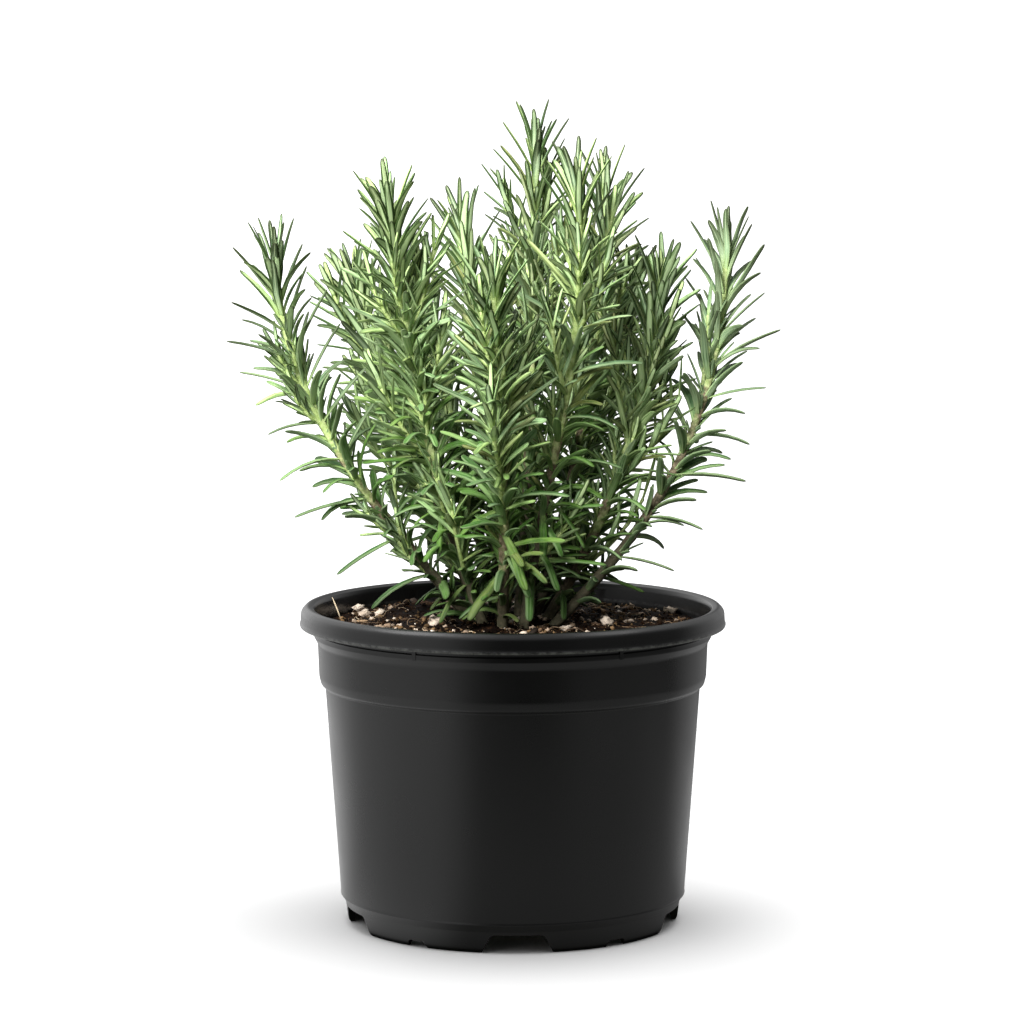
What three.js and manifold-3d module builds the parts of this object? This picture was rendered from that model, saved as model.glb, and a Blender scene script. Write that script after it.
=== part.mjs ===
// A potted herb: a black nursery pot full of potting soil, with thirteen stems of narrow opposite leaves.
// Millimetres, +Z up. The origin is the centre of the pot's base, on the surface that it stands on. The
// front faces -Y. An azimuth is measured round the pot from the front towards +X.
import * as THREE from 'three';
import { LoftGeometry } from 'three/addons/geometries/LoftGeometry.js';
import { mergeVertices } from 'three/addons/utils/BufferGeometryUtils.js';
import Module from 'manifold-3d';

const wasm = await Module();
wasm.setup();
const { lerp, degToRad } = THREE.MathUtils;

// Pot: heights above the surface
const potHeight = 123.5;
const floorUnderside = 7.5;
const floorTop = 9;
const footTop = 8.2;
const wallBottom = 11.3;
const wallTop = 91.9;
const shoulderHeight = 93.2;
const bandBottom = 96.2;
const bandTop = 109;
const collarBottom = 111.7;
const collarTop = 114;
const lipBottom = 115.5;
const lipBulge = 117.2;
const lipHollowTop = 120;
const lipTop = 121.3;
const throatTop = 122.6;

// Pot: radii
const footInnerRadius = 62;
const footRadius = 63.4;
const footTopRadius = 65.2;
const wallBottomRadius = 66.9;
const wallTopRadius = 72.6;
const shoulderRadius = 74.3;
const bandRadius = 75;
const bandTopRadius = 75.5;
const collarRadius = 77;
const lipHollowRadius = 77.9;
const lipInnerRadius = 81;
const rimRadius = 82.5;
const lipTopRadius = 81.9;
const crestRadius = 79.7;
const throatRadius = 77.2;
const rimInnerRadius = 76.6;
const footChamfer = { out: 0.8, up: 1.2 };
const lipEdge = 1.1;
const wallThickness = 1.2;
const wallSegments = 36;

// Foot ring: five wide notches with five small ones between them, and the drain holes in the floor
const notchCount = 5;
const wideNotch = { top: 20, bottom: 27, height: 7 };
const smallNotch = { top: 7, bottom: 9, height: 2.5 };
const frontNotchAzimuth = degToRad(1.6);
const drainHole = { length: 16, width: 8, radius: 48 };
const cutMargin = 3;
const holeEndSegments = 4;

// Soil
const seatGap = 0.3;
const soilInset = 0.35;
const soilEdge = 114.4;
const soilMound = 2.6;
const soilRipple = 0.7;
const soilWaves = { across: 6.3, deep: 5.4, slanted: 9.1 };
const soilRings = [0, 0.16, 0.34, 0.52, 0.69, 0.85, 1];
const lumpCount = 22;
const lumpSize = { least: 1.6, most: 3.6 };
const lumpRise = 0.15;
const lumpInnerRadius = 30;
const lumpOuterRadius = 70;

// Stems: square in section, rooted in the soil
const stemFootHeight = 114;
const stemRootDepth = 24;
const stemFootRadius = 2.4;
const stemTipRadius = 1;
const stemStep = 20;
const stemHoleGap = 0.45;
const stemBareLength = 20;

// Leaves: opposite pairs, each pair turned a quarter from the one before
const leafLength = { young: 22, old: 28, youngReach: 12 };
const leafHalfWidth = { young: 1.3, old: 1.7 };
const leafThickness = 1.3;
const leafFlatShare = 0.3;
const leafRootShare = -0.04;
const leafStations = [0.2, 0.84];
const firstPairBack = 1.5;
const matureBack = 90;
const pairSpacing = { young: 3.9, old: 9.6 };
const openAngle = { young: 11, old: 66, reach: 50 };
const leafCurl = degToRad(13);
const leafDroop = 0.45;

// How far one leaf may differ from the next
const turnSpread = 0.6;
const openSpread = degToRad(16);
const sizeSpread = { least: 0.86, most: 1.12 };
const twistSpread = 0.7;
const droopSpread = { least: 0.3, most: 2.2 };

// How a leaf keeps clear of the other stems, the soil and the rim
const leafGap = 0.35;
const leafTries = 9;
const swayStep = 0.2;
const raiseStep = 0.06;
const shortenStep = 0.04;
const soilClearance = 4.5;

// Each stem: where it leaves the soil, the two points that pull its curve, its tip, the turn of its first pair
// of leaves in degrees, and the seed of its draws
const stems = [
  {
    name: 'far_left',
    foot: [-13, -5],
    pulls: [[-46, -11, 155], [-87, -20, 197]],
    tip: [-89, -28, 254],
    turn: 20,
    seed: 30,
  },
  {
    name: 'left_front',
    foot: [-10, -13],
    pulls: [[-29, -19, 163], [-39, -29, 218]],
    tip: [-46, -38, 275],
    turn: 0,
    seed: 32,
  },
  {
    name: 'left_back',
    foot: [-9, 9],
    pulls: [[-31, 16, 153], [-50, 32, 202]],
    tip: [-63, 42, 245],
    turn: 80,
    seed: 66,
  },
  {
    name: 'mid_left',
    foot: [-4, 4],
    pulls: [[-8, 13, 161], [-11, 26, 218]],
    tip: [-20, 36, 264],
    turn: 30,
    seed: 44,
  },
  {
    name: 'mid_front',
    foot: [-4, -19],
    pulls: [[-2, -34, 161], [-5, -50, 206]],
    tip: [-7, -66, 249],
    turn: 70,
    seed: 20,
  },
  {
    name: 'tall',
    foot: [2, -2],
    pulls: [[7, 8, 173], [8, 9, 239]],
    tip: [9, 14, 297],
    turn: 80,
    seed: 48,
  },
  {
    name: 'right_front',
    foot: [4, -15],
    pulls: [[10, -24, 168], [31, -27, 228]],
    tip: [24, -34, 284],
    turn: 80,
    seed: 36,
  },
  {
    name: 'right_back',
    foot: [8, 8],
    pulls: [[22, 13, 158], [36, 30, 226]],
    tip: [36, 40, 280],
    turn: 0,
    seed: 42,
  },
  {
    name: 'right',
    foot: [11, 0],
    pulls: [[38, -5, 157], [50, 6, 193]],
    tip: [57, 10, 246],
    turn: 20,
    seed: 28,
  },
  {
    name: 'far_right',
    foot: [14, -8],
    pulls: [[48, -3, 150], [80, 8, 182]],
    tip: [83, 22, 255],
    turn: 70,
    seed: 33,
  },
  {
    name: 'back_left',
    foot: [-5, 16],
    pulls: [[-18, 34, 165], [-30, 48, 215]],
    tip: [-35, 60, 238],
    turn: 40,
    seed: 1,
  },
  {
    name: 'back',
    foot: [3, 17],
    pulls: [[2, 38, 160], [4, 56, 205]],
    tip: [3, 68, 251],
    turn: 30,
    seed: 2,
  },
  {
    name: 'back_right',
    foot: [12, 14],
    pulls: [[26, 32, 160], [38, 46, 205]],
    tip: [48, 58, 242],
    turn: 20,
    seed: 3,
  },
];

// Draws from 0 up to 1 that are the same at every run
function seededDraws(seed) {
  let state = seed;
  return () => {
    state = (state * 1664525 + 1013904223) % 4294967296;
    return state / 4294967296;
  };
}

// A closed geometry as a solid that can be joined and cut
function solidOf(geometry) {
  const bare = new THREE.BufferGeometry().copy(geometry);
  bare.deleteAttribute('normal');
  bare.deleteAttribute('uv');
  const merged = mergeVertices(bare);
  const corners = merged.index.array;
  const triangles = [];
  for (let i = 0; i < corners.length; i += 3) {
    const [a, b, c] = corners.slice(i, i + 3);
    if (a !== b && b !== c && c !== a) {
      triangles.push(a, b, c);
    }
  }
  return new wasm.Manifold(new wasm.Mesh({
    numProp: 3,
    vertProperties: new Float32Array(merged.attributes.position.array),
    triVerts: new Uint32Array(triangles),
  }));
}

// A named mesh of the solid's one outer body: loose scraps go, and a hollow sealed by joining is filled
function meshOf(name, solid, material) {
  const bodies = solid.decompose().sort((a, b) => b.volume() - a.volume());
  const skin = bodies[0].getMesh();
  const geometry = new THREE.BufferGeometry();
  geometry.setAttribute('position', new THREE.BufferAttribute(skin.vertProperties, 3));
  geometry.setIndex(new THREE.BufferAttribute(skin.triVerts, 1));
  geometry.computeVertexNormals();
  const mesh = new THREE.Mesh(geometry, material);
  mesh.name = name;
  return mesh;
}

// A profile of [radius, height] points turned round the upright axis
function turned(profile) {
  const points = profile.map(([radius, height]) => new THREE.Vector2(radius, height));
  return new THREE.LatheGeometry(points, wallSegments).rotateX(Math.PI / 2);
}

// A prism with the outline given as [across, up] points, lying along a radius of the pot at an azimuth
function radialPrism(outline, innerRadius, outerRadius, azimuth) {
  const shape = new THREE.Shape(outline.map(([across, up]) => new THREE.Vector2(across, up)));
  const prism = new THREE.ExtrudeGeometry(shape, { depth: outerRadius - innerRadius, bevelEnabled: false });
  return prism.rotateX(Math.PI / 2).translate(0, -innerRadius, 0).rotateZ(azimuth);
}

// A slot through the foot ring, wider at the surface that the pot stands on
function notchCutter(notch, azimuth) {
  const outline = [
    [-notch.bottom / 2, -cutMargin],
    [notch.bottom / 2, -cutMargin],
    [notch.bottom / 2, 0],
    [notch.top / 2, notch.height],
    [-notch.top / 2, notch.height],
    [-notch.bottom / 2, 0],
  ];
  return solidOf(radialPrism(outline, footInnerRadius - cutMargin, footTopRadius + cutMargin, azimuth));
}

// A round-ended hole through the floor, lying across the radius
function drainCutter(azimuth) {
  const endRadius = drainHole.width / 2;
  const endCentre = (drainHole.length - drainHole.width) / 2;
  const outline = new THREE.Shape();
  outline.absarc(endCentre, 0, endRadius, -Math.PI / 2, Math.PI / 2);
  outline.absarc(-endCentre, 0, endRadius, Math.PI / 2, Math.PI * 1.5);
  const depth = floorTop - floorUnderside + 2 * cutMargin;
  const settings = { depth, bevelEnabled: false, curveSegments: holeEndSegments };
  const cutter = new THREE.ExtrudeGeometry(outline, settings);
  return solidOf(cutter.translate(0, -drainHole.radius, floorUnderside - cutMargin).rotateZ(azimuth));
}

// The outside of the pot from the foot to the crest of its rolled lip, which is open underneath
function outerProfile() {
  return [
    [footInnerRadius, floorUnderside],
    [footInnerRadius, 0],
    [footRadius, 0],
    [footRadius + footChamfer.out, footChamfer.up],
    [footTopRadius, footTop],
    [wallBottomRadius, wallBottom],
    [wallTopRadius, wallTop],
    [shoulderRadius, shoulderHeight],
    [bandRadius, bandBottom],
    [bandTopRadius, bandTop],
    [collarRadius, collarBottom],
    [collarRadius, collarTop],
    [lipHollowRadius, lipHollowTop],
    [lipInnerRadius, lipHollowTop],
    [lipInnerRadius, lipBottom],
    [lipInnerRadius + lipEdge, lipBottom],
    [rimRadius, lipBulge],
    [lipTopRadius, lipTop],
    [crestRadius, potHeight],
    [throatRadius, throatTop],
  ];
}

// The inside of the pot from the rim down to the floor
function innerProfile() {
  return [
    [rimInnerRadius, lipTop],
    [collarRadius - wallThickness, collarBottom],
    [bandTopRadius - wallThickness, bandTop],
    [bandRadius - wallThickness, bandBottom],
    [wallTopRadius - wallThickness, wallTop],
    [wallBottomRadius - wallThickness, wallBottom],
    [footTopRadius - wallThickness, floorTop],
  ];
}

// The pot, turned in one piece, with notches in its foot ring and drain holes in its floor
function buildPot() {
  const profile = [[0, floorUnderside], ...outerProfile(), ...innerProfile(), [0, floorTop]];
  const cutters = [];
  for (let i = 0; i < notchCount; i++) {
    const azimuth = frontNotchAzimuth + (i / notchCount) * 2 * Math.PI;
    const between = azimuth + Math.PI / notchCount;
    cutters.push(notchCutter(wideNotch, azimuth));
    cutters.push(notchCutter(smallNotch, between));
    cutters.push(drainCutter(between));
  }
  const pot = solidOf(turned(profile)).subtract(wasm.Manifold.union(cutters));
  const plastic = new THREE.MeshStandardMaterial({ color: 0x1e1f21, roughness: 0.45, metalness: 0 });
  return meshOf('pot', pot, plastic);
}

// The height of the soil's surface: a low mound with ripples that fade out at the pot's wall
function soilHeight(x, y) {
  const inwards = 1 - Math.min(1, Math.hypot(x, y) / rimInnerRadius) ** 2;
  const crossed = Math.sin(x / soilWaves.across) * Math.cos(y / soilWaves.deep);
  const ripple = crossed + Math.sin((x + 2 * y) / soilWaves.slanted) / 2;
  return soilEdge + soilMound * inwards + soilRipple * ripple * Math.min(1, 3 * inwards);
}

// The bulk of the soil, which fills the pot with a small gap all round and has an uneven surface
function soilBulk() {
  const side = innerProfile().slice(1).reverse();
  const inset = side.map(([radius, height]) => [radius - soilInset, height]);
  inset[0][1] = floorTop + seatGap;
  const edgeRadius = collarRadius - wallThickness - soilInset;
  const top = soilRings.map((share) => [share * edgeRadius, soilEdge]).reverse();
  const geometry = turned([[0, floorTop + seatGap], ...inset, ...top]);
  const position = geometry.attributes.position;
  for (let i = 0; i < position.count; i++) {
    if (position.getZ(i) > soilEdge - 0.01) {
      position.setZ(i, soilHeight(position.getX(i), position.getY(i)));
    }
  }
  return solidOf(geometry);
}

// A grain or a bit of bark, half pressed into the surface
function soilLump(draw) {
  const azimuth = draw() * 2 * Math.PI;
  const radius = lerp(lumpInnerRadius, lumpOuterRadius, Math.sqrt(draw()));
  const size = lerp(lumpSize.least, lumpSize.most, draw() ** 2);
  const x = radius * Math.sin(azimuth);
  const y = -radius * Math.cos(azimuth);
  const lump = new THREE.OctahedronGeometry(size);
  lump.rotateX(draw() * Math.PI).rotateY(draw() * Math.PI);
  lump.scale(lerp(0.8, 1.3, draw()), lerp(0.6, 1, draw()), 0.75);
  return solidOf(lump.translate(x, y, soilHeight(x, y) + lumpRise * size));
}

// The soil with its lumps, and a plain hole for each stem
function buildSoil(routes) {
  const draw = seededDraws(11);
  const lumps = [];
  for (let i = 0; i < lumpCount; i++) {
    lumps.push(soilLump(draw));
  }
  const holes = routes.map((route) => stemSolid(route.buried, stemHoleGap));
  const soil = wasm.Manifold.union([soilBulk(), ...lumps]).subtract(wasm.Manifold.union(holes));
  const earth = new THREE.MeshStandardMaterial({ color: 0x2c2219, roughness: 0.95, metalness: 0 });
  return meshOf('soil', soil, earth);
}

// A direction square to a stem, at an angle round it that is counted from as near as can be to +Y
function sideways(along, around) {
  const first = new THREE.Vector3(0, 1, 0).addScaledVector(along, -along.y).normalize();
  return first.applyAxisAngle(along, around);
}

// A stem's route above the soil as a curve, with the points where its rings stand and the buried stretch
function stemRoute(stem) {
  const foot = new THREE.Vector3(...stem.foot, stemFootHeight);
  const [lower, upper] = stem.pulls.map((point) => new THREE.Vector3(...point));
  const curve = new THREE.CubicBezierCurve3(foot, lower, upper, new THREE.Vector3(...stem.tip));
  const length = curve.getLength();
  const steps = Math.round(length / stemStep);
  const upright = new THREE.Vector3(0, 0, 1);
  const ringAt = (point, along, share) => ({
    point,
    along,
    radius: lerp(stemFootRadius, stemTipRadius, share),
    turn: degToRad(stem.turn),
  });
  const root = ringAt(foot.clone().setZ(stemFootHeight - stemRootDepth), upright, 0);
  const rings = [root];
  for (let i = 0; i <= steps; i++) {
    const share = i / steps;
    rings.push(ringAt(curve.getPointAt(share), curve.getTangentAt(share), share));
  }
  return { ...stem, curve, length, rings, buried: rings.slice(0, 3) };
}

// A square-sectioned stem through its rings; a growth above nothing makes the hole that it stands in
function stemSolid(rings, growth = 0) {
  const sections = rings.map(({ point, along, radius, turn }, i) => {
    const middle = point.clone().addScaledVector(along, i === 0 ? -growth : 0);
    return [0.25, 0.75, 1.25, 1.75].map((corner) => {
      const outwards = sideways(along, turn + corner * Math.PI);
      return middle.clone().addScaledVector(outwards, radius + growth);
    });
  });
  return solidOf(new LoftGeometry(sections, { capStart: true, capEnd: true }));
}

// A leaf's middle line: it leaves the stem's axis in one direction and bends evenly into another
function leafPoint(leaf, share) {
  return leaf.root
    .clone()
    .addScaledVector(leaf.start, leaf.length * (share - (share * share) / 2))
    .addScaledVector(leaf.end, (leaf.length * share * share) / 2);
}

// A leaf that grows at a distance back from the stem's tip, at an angle round the stem
function leafAt(route, back, habit) {
  const share = 1 - back / route.length;
  const along = route.curve.getTangentAt(share);
  const age = Math.min(1, back / matureBack);
  const outwards = sideways(along, habit.turn);
  const leaning = (angle) =>
    along.clone().multiplyScalar(Math.cos(angle)).addScaledVector(outwards, Math.sin(angle));
  const start = leaning(habit.opening);
  const end = leaning(habit.opening + leafCurl);
  end.z -= leafDroop * habit.droop * age * age;
  return {
    root: route.curve.getPointAt(share),
    start,
    end: end.normalize(),
    across: new THREE.Vector3().crossVectors(along, outwards).applyAxisAngle(start, habit.twist),
    length: habit.size * lerp(leafLength.young, leafLength.old, Math.min(1, back / leafLength.youngReach)),
    halfWidth: habit.size * lerp(leafHalfWidth.young, leafHalfWidth.old, age),
  };
}

// The three stretches of a leaf's middle line
function leafLines(leaf) {
  const points = [0, 0.4, 0.75, 1].map((share) => leafPoint(leaf, share));
  return points.slice(1).map((point, i) => new THREE.Line3(points[i], point));
}

// Whether a leaf stays over the soil and the rim, and clear of every obstacle of the other stems
function isClear(leaf, lines, obstacles) {
  for (const { end } of lines) {
    const overSoil = Math.hypot(end.x, end.y) < rimInnerRadius - leaf.halfWidth;
    const ground = overSoil ? soilHeight(end.x, end.y) : potHeight;
    if (end.z < ground + soilClearance) {
      return false;
    }
  }
  return obstacles.every((obstacle) => {
    const reach = leaf.halfWidth + obstacle.radius + leafGap;
    return lines.every((line) => line.distanceSqToLine3(obstacle.line) > reach * reach);
  });
}

// How a leaf stands: the draws for it, and what it gives way by at each further try
function leafHabit(draw, turn, back) {
  const spread = lerp(openAngle.old, openAngle.young, Math.exp(-back / openAngle.reach));
  const drawn = {
    turn: turn + (draw() - 0.5) * turnSpread,
    opening: degToRad(spread) + (draw() - 0.5) * openSpread,
    size: lerp(sizeSpread.least, sizeSpread.most, draw()),
    twist: (draw() - 0.5) * twistSpread,
    droop: lerp(droopSpread.least, droopSpread.most, draw() ** 2),
  };
  return (attempt) => ({
    ...drawn,
    turn: drawn.turn + Math.ceil(attempt / 2) * (attempt % 2 ? swayStep : -swayStep),
    opening: drawn.opening * (1 - raiseStep * attempt),
    size: drawn.size * (1 - shortenStep * attempt),
  });
}

// The leaves of one stem, from its tip down; one that would meet another stem is turned or shortened
function growLeaves(route, obstacles) {
  const draw = seededDraws(route.seed);
  const leaves = [];
  let back = firstPairBack;
  for (let pair = 0; back < route.length - stemBareLength; pair++) {
    for (const side of [0, 1]) {
      const habitAt = leafHabit(draw, degToRad(route.turn) + (pair / 2 + side) * Math.PI, back);
      for (let attempt = 0; attempt < leafTries; attempt++) {
        const leaf = leafAt(route, back, habitAt(attempt));
        const lines = leafLines(leaf);
        if (isClear(leaf, lines, obstacles)) {
          leaves.push({ ...leaf, lines });
          break;
        }
      }
    }
    back += lerp(pairSpacing.young, pairSpacing.old, Math.min(1, back / matureBack));
  }
  return leaves;
}

// A narrow leaf with a flat top and a keel below, blunt at its tip
function leafSolid(leaf) {
  const sections = leafStations.map((share) => {
    const middle = leafPoint(leaf, share);
    const along = leafPoint(leaf, share + 0.05).sub(middle).normalize();
    const top = new THREE.Vector3().crossVectors(along, leaf.across).normalize();
    const flat = middle.clone().addScaledVector(top, leafFlatShare * leafThickness);
    return [
      flat.clone().addScaledVector(leaf.across, leaf.halfWidth),
      flat.clone().addScaledVector(leaf.across, -leaf.halfWidth),
      flat.clone().addScaledVector(top, -leafThickness),
    ];
  });
  const root = leafPoint(leaf, leafRootShare);
  const tip = leafPoint(leaf, 1);
  return solidOf(new LoftGeometry([[root, root, root], ...sections, [tip, tip, tip]]));
}

// The stretches of a stem between its rings, as obstacles to the leaves of the others
function stemObstacles(route) {
  return route.rings.slice(1).map((ring, i) => ({
    owner: route.name,
    line: new THREE.Line3(route.rings[i].point, ring.point),
    radius: route.rings[i].radius,
  }));
}

// Every leafy stem, one after the other, each one's leaves grown clear of all that stands already
function buildStems(routes) {
  const green = new THREE.MeshStandardMaterial({ color: 0x4f6b38, roughness: 0.6, metalness: 0 });
  const obstacles = routes.flatMap(stemObstacles);
  return routes.map((route) => {
    const others = obstacles.filter(({ owner }) => owner !== route.name);
    const leaves = growLeaves(route, others);
    for (const leaf of leaves) {
      for (const line of leaf.lines) {
        obstacles.push({ owner: route.name, line, radius: leaf.halfWidth });
      }
    }
    const parts = [stemSolid(route.rings), ...leaves.map(leafSolid)];
    return meshOf(`leafy_stem_${route.name}`, wasm.Manifold.union(parts), green);
  });
}

const routes = stems.map(stemRoute);
const pottedHerb = new THREE.Group();
pottedHerb.name = 'potted_herb';
pottedHerb.add(buildPot(), buildSoil(routes), ...buildStems(routes));

export default pottedHerb;
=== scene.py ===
# A potted herb in a studio: a fine pot, fine soil and thirteen fine leafy stems replace the plain solids.
# Lengths are millimetres until a mesh is made, and every mesh is in metres. A pair of sizes gives the
# least and the most, or the size at a stem's tip and the one on its old part.
import math

import bmesh
import bpy
import numpy as np
from mathutils import Matrix, Vector, noise


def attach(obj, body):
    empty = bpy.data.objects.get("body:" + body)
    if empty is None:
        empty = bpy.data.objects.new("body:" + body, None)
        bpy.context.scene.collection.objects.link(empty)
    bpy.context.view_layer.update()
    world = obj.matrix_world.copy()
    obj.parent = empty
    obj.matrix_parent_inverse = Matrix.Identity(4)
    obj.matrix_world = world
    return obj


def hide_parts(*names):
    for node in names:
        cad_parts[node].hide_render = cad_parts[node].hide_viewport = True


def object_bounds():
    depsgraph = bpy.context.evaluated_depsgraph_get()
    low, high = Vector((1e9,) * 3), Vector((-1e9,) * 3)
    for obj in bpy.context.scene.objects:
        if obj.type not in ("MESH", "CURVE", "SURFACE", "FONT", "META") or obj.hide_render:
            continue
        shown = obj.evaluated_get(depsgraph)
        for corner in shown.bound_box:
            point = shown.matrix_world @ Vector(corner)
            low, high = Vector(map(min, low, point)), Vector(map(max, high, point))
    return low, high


MM = 0.001

# The places of the materials in the soil's list and in that of a stem
EARTH, BARK, GRAIN, FIBRE = range(4)
STEM, LEAF = range(2)

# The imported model, and its box, which the leaves stay inside
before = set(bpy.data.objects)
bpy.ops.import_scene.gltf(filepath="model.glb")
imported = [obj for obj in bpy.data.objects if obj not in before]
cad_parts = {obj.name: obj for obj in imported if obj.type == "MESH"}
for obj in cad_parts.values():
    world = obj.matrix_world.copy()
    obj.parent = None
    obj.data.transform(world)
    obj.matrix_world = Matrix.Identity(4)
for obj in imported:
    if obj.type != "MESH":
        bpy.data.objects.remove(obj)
plain_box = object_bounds()
BOX_LOW, BOX_HIGH = np.array([list(corner) for corner in plain_box]) / MM

# The camera, which stands where the photograph was taken
CAMERA_PLACE = (-0.27, -1500, 328)
CAMERA_PITCH = math.radians(6.42)
FOCAL_PIXELS = 3908
PICTURE_PIXELS = 1024
SENSOR_WIDTH = 36
VIEW_DEPTH = 20000

# Light: how bright the room is, the glow of its sides, and the soft lights
ROOM = {"below": 0.018, "base": 0.052, "overhead": 0.55, "seen": 1.2, "soft_share": 0.8, "bounce": 0.46}
BOUNCE_COLOUR = (0.92, 1.0, 0.74)
HORIZON_EDGES = (-0.11, -0.03)
OVERHEAD_EDGES = (0.35, 0.9)
BOUNCE_EDGES = (0.0, -0.25)
LOW_SIDES = {"edges": (-0.18, -0.03), "share": 0.6}
LOBES = [
    {"side": "left", "heading": (-0.899, -0.438), "edges": (0.66, 0.95), "glow": 0.82},
    {"side": "right", "heading": (0.899, -0.438), "edges": (0.7, 0.95), "glow": 0.1},
    {"side": "back", "heading": (-0.643, 0.766), "edges": (0.65, 1.0), "glow": 1.3},
    {"side": "back", "heading": (0.643, 0.766), "edges": (0.75, 1.0), "glow": 0.54},
]
PLANT_MIDDLE = (0, 0, 180)
KEY_LIGHT = {"place": (-640, -1000, 1280), "size": 560, "power": 48}
FILL_LIGHT = {"place": (-350, -800, 700), "size": 500, "power": 19}
FLOOR_LIGHT = {"place": (70, 0, 1100), "size": 1000, "power": 12.2}
RIM_LIGHT_LEFT = {"place": (-640, 0, 1160), "size": 500, "power": 3.5}
RIM_LIGHT_RIGHT = {"place": (640, 0, 1160), "size": 400, "power": 1.2}

# Floor
FLOOR_RADIUS = 460
FLOOR_SIDES = 128
FLOOR_DROP = 0.1

# What the pot's gloss shows of the floor: a radius, the glow all round, and how far it takes each side's
CARD_RINGS = [
    {"radius": 0.01, "all": 0, "left": 0, "right": 0, "back": 0},
    {"radius": 64, "all": 0, "left": 0, "right": 0, "back": 0},
    {"radius": 68, "all": 0.16, "left": 0.6, "right": 0.4, "back": 0.3},
    {"radius": 78, "all": 0.24, "left": 0.9, "right": 0.6, "back": 0.6},
    {"radius": 100, "all": 0.3, "left": 0.7, "right": 0.4, "back": 0.6},
    {"radius": 140, "all": 0.35, "left": 0.52, "right": 0.1, "back": 0.55},
    {"radius": 220, "all": 0.3, "left": 0.58, "right": 0.3, "back": 0.6},
    {"radius": 330, "all": 0.1, "left": 0.95, "right": 2.8, "back": 0.75},
    {"radius": FLOOR_RADIUS, "all": 0.02, "left": 1.15, "right": 3.2, "back": 0.75},
]

# Pot: heights above the surface
POT_HEIGHT = 123.5
FLOOR_UNDERSIDE = 7.5
FLOOR_TOP = 9
FOOT_TOP = 8.2
WALL_BOTTOM = 11.3
WALL_TOP = 91.9
SHOULDER_HEIGHT = 93.2
BAND_BOTTOM = 96.2
BAND_TOP = 109
COLLAR_BOTTOM = 111.7
COLLAR_TOP = 114
LIP_BOTTOM = 115.5
LIP_HOLLOW_TOP = 120
LIP_TOP = 121.3
THROAT_TOP = 122.6

# Pot: radii
FOOT_INNER_RADIUS = 62
FOOT_RADIUS = 63.4
FOOT_TOP_RADIUS = 65.2
WALL_BOTTOM_RADIUS = 66.9
WALL_TOP_RADIUS = 72.6
SHOULDER_RADIUS = 74.3
BAND_RADIUS = 75
BAND_TOP_RADIUS = 75.5
COLLAR_RADIUS = 77
LIP_HOLLOW_RADIUS = 77.9
LIP_INNER_RADIUS = 81
RIM_RADIUS = 82.5
LIP_TOP_RADIUS = 81.9
CREST_RADIUS = 79.7
THROAT_RADIUS = 77.2
RIM_INNER_RADIUS = 76.6
FOOT_CHAMFER_OUT = 0.8
FOOT_CHAMFER_UP = 1.2
LIP_FACE_RADIUS = 82.1
LIP_FACE_BOTTOM = 117.3
BEAD_BOTTOM_RADIUS = 82.2
BEAD_HEIGHT = 116.3
LEDGE_DEPTH = 0.35
LEDGE_HEIGHT = 113.4
# The painted highlight line along the bead under the lip: its height, and how far it reaches up and down
HIGHLIGHT_LINE_HEIGHT = 116.1
HIGHLIGHT_LINE_REACH = 0.75
FOOT_BEAD = 0.16
FOOT_BEAD_HEIGHT = 0.45
WALL_THICKNESS = 1.2
POT_SEGMENTS = 180

# Pot: how far each kind of corner is rounded, and the ribs under the lip
FINE_ROUND = 0.12
SHARP_ROUND = 0.25
SOFT_ROUND = 0.7
WIDE_ROUND = 1.1
ROUND_STEPS = 4
CORNER_SHARE = 0.45
SHARP_ANGLE = math.radians(38)
RIB_COUNT = 6
RIB_AZIMUTH = math.radians(-28.4)
RIB_WIDTH = 1.5
RIB_DEPTH = 0.18
RIB_BOTTOM = 111.5

# Foot ring: wide notches with small ones between them, and the drain holes in the floor
NOTCH_COUNT = 5
WIDE_NOTCH = {"top": 20, "bottom": 27, "height": 7, "round": 1.6}
SMALL_NOTCH = {"top": 7, "bottom": 9, "height": 2.5, "round": 0.8}
FRONT_NOTCH_AZIMUTH = math.radians(1.6)
DRAIN_LENGTH = 16
DRAIN_WIDTH = 8
DRAIN_RADIUS = 48
DRAIN_STEPS = 12
CUT_MARGIN = 3

# Soil
SEAT_GAP = 0.3
SOIL_INSET = 0.35
SOIL_EDGE = 114.4
SOIL_MOUND = 2.6
SOIL_RIPPLE = 0.7
SOIL_WAVES = {"across": 6.3, "deep": 5.4, "slanted": 9.1}
SOIL_CELLS = 140
SOIL_FADE = 2
SOIL_HEAP = {"x": -38, "y": 26, "height": 4.5, "reach": 15}
SOIL_SEED = 11

# Relief of the soil: each layer of noise as the width of its features and a level, and its height
CLOD_LAYER = (7.0, 3.1)
CLOD_HEIGHT = 1.1
CRUMB_LAYER = (1.7, 0.7)
CRUMB_HEIGHT = 0.75
CRUMB_LEVEL = 0.45
FINE_LAYER = (1.1, 9.0)
FINE_NOISE = (0.8, 2.0, 3)
FINE_HEIGHT = 0.22

# What is strewn on the soil: the higher a rarity, the fewer are large
CRUMB_COUNT = 3250
CRUMB_SIZE = (0.28, 1.2)
CRUMB_RARITY = 4
CRUMB_FORM = (1, 0.85, 0.7)
CRUMB_RISE = 0.3
CRUMB_TINT_RARITY = 1.8
LARGE_CRUMB = 0.8
CHIP_COUNT = 230
CHIP_MARGIN = 4
CHIP_LENGTH = (0.8, 3.2)
CHIP_RARITY = 2.4
CHIP_WIDTH = (0.25, 0.6)
CHIP_HEIGHT = (0.12, 0.28)
CHIP_ROUNDNESS = 0.6
CHIP_LUMPS = 0.7
CHIP_RISE = 0.4
FLAT_CHIPS = 0.75
FLAT_TILT = 0.35
GRAIN_COUNT = 260
GRAIN_SIZE = (0.3, 1.4)
GRAIN_RARITY = 2.6
GRAIN_FORMS = ((0.9, 1.2), (0.7, 1), (0.6, 0.85))
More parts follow.
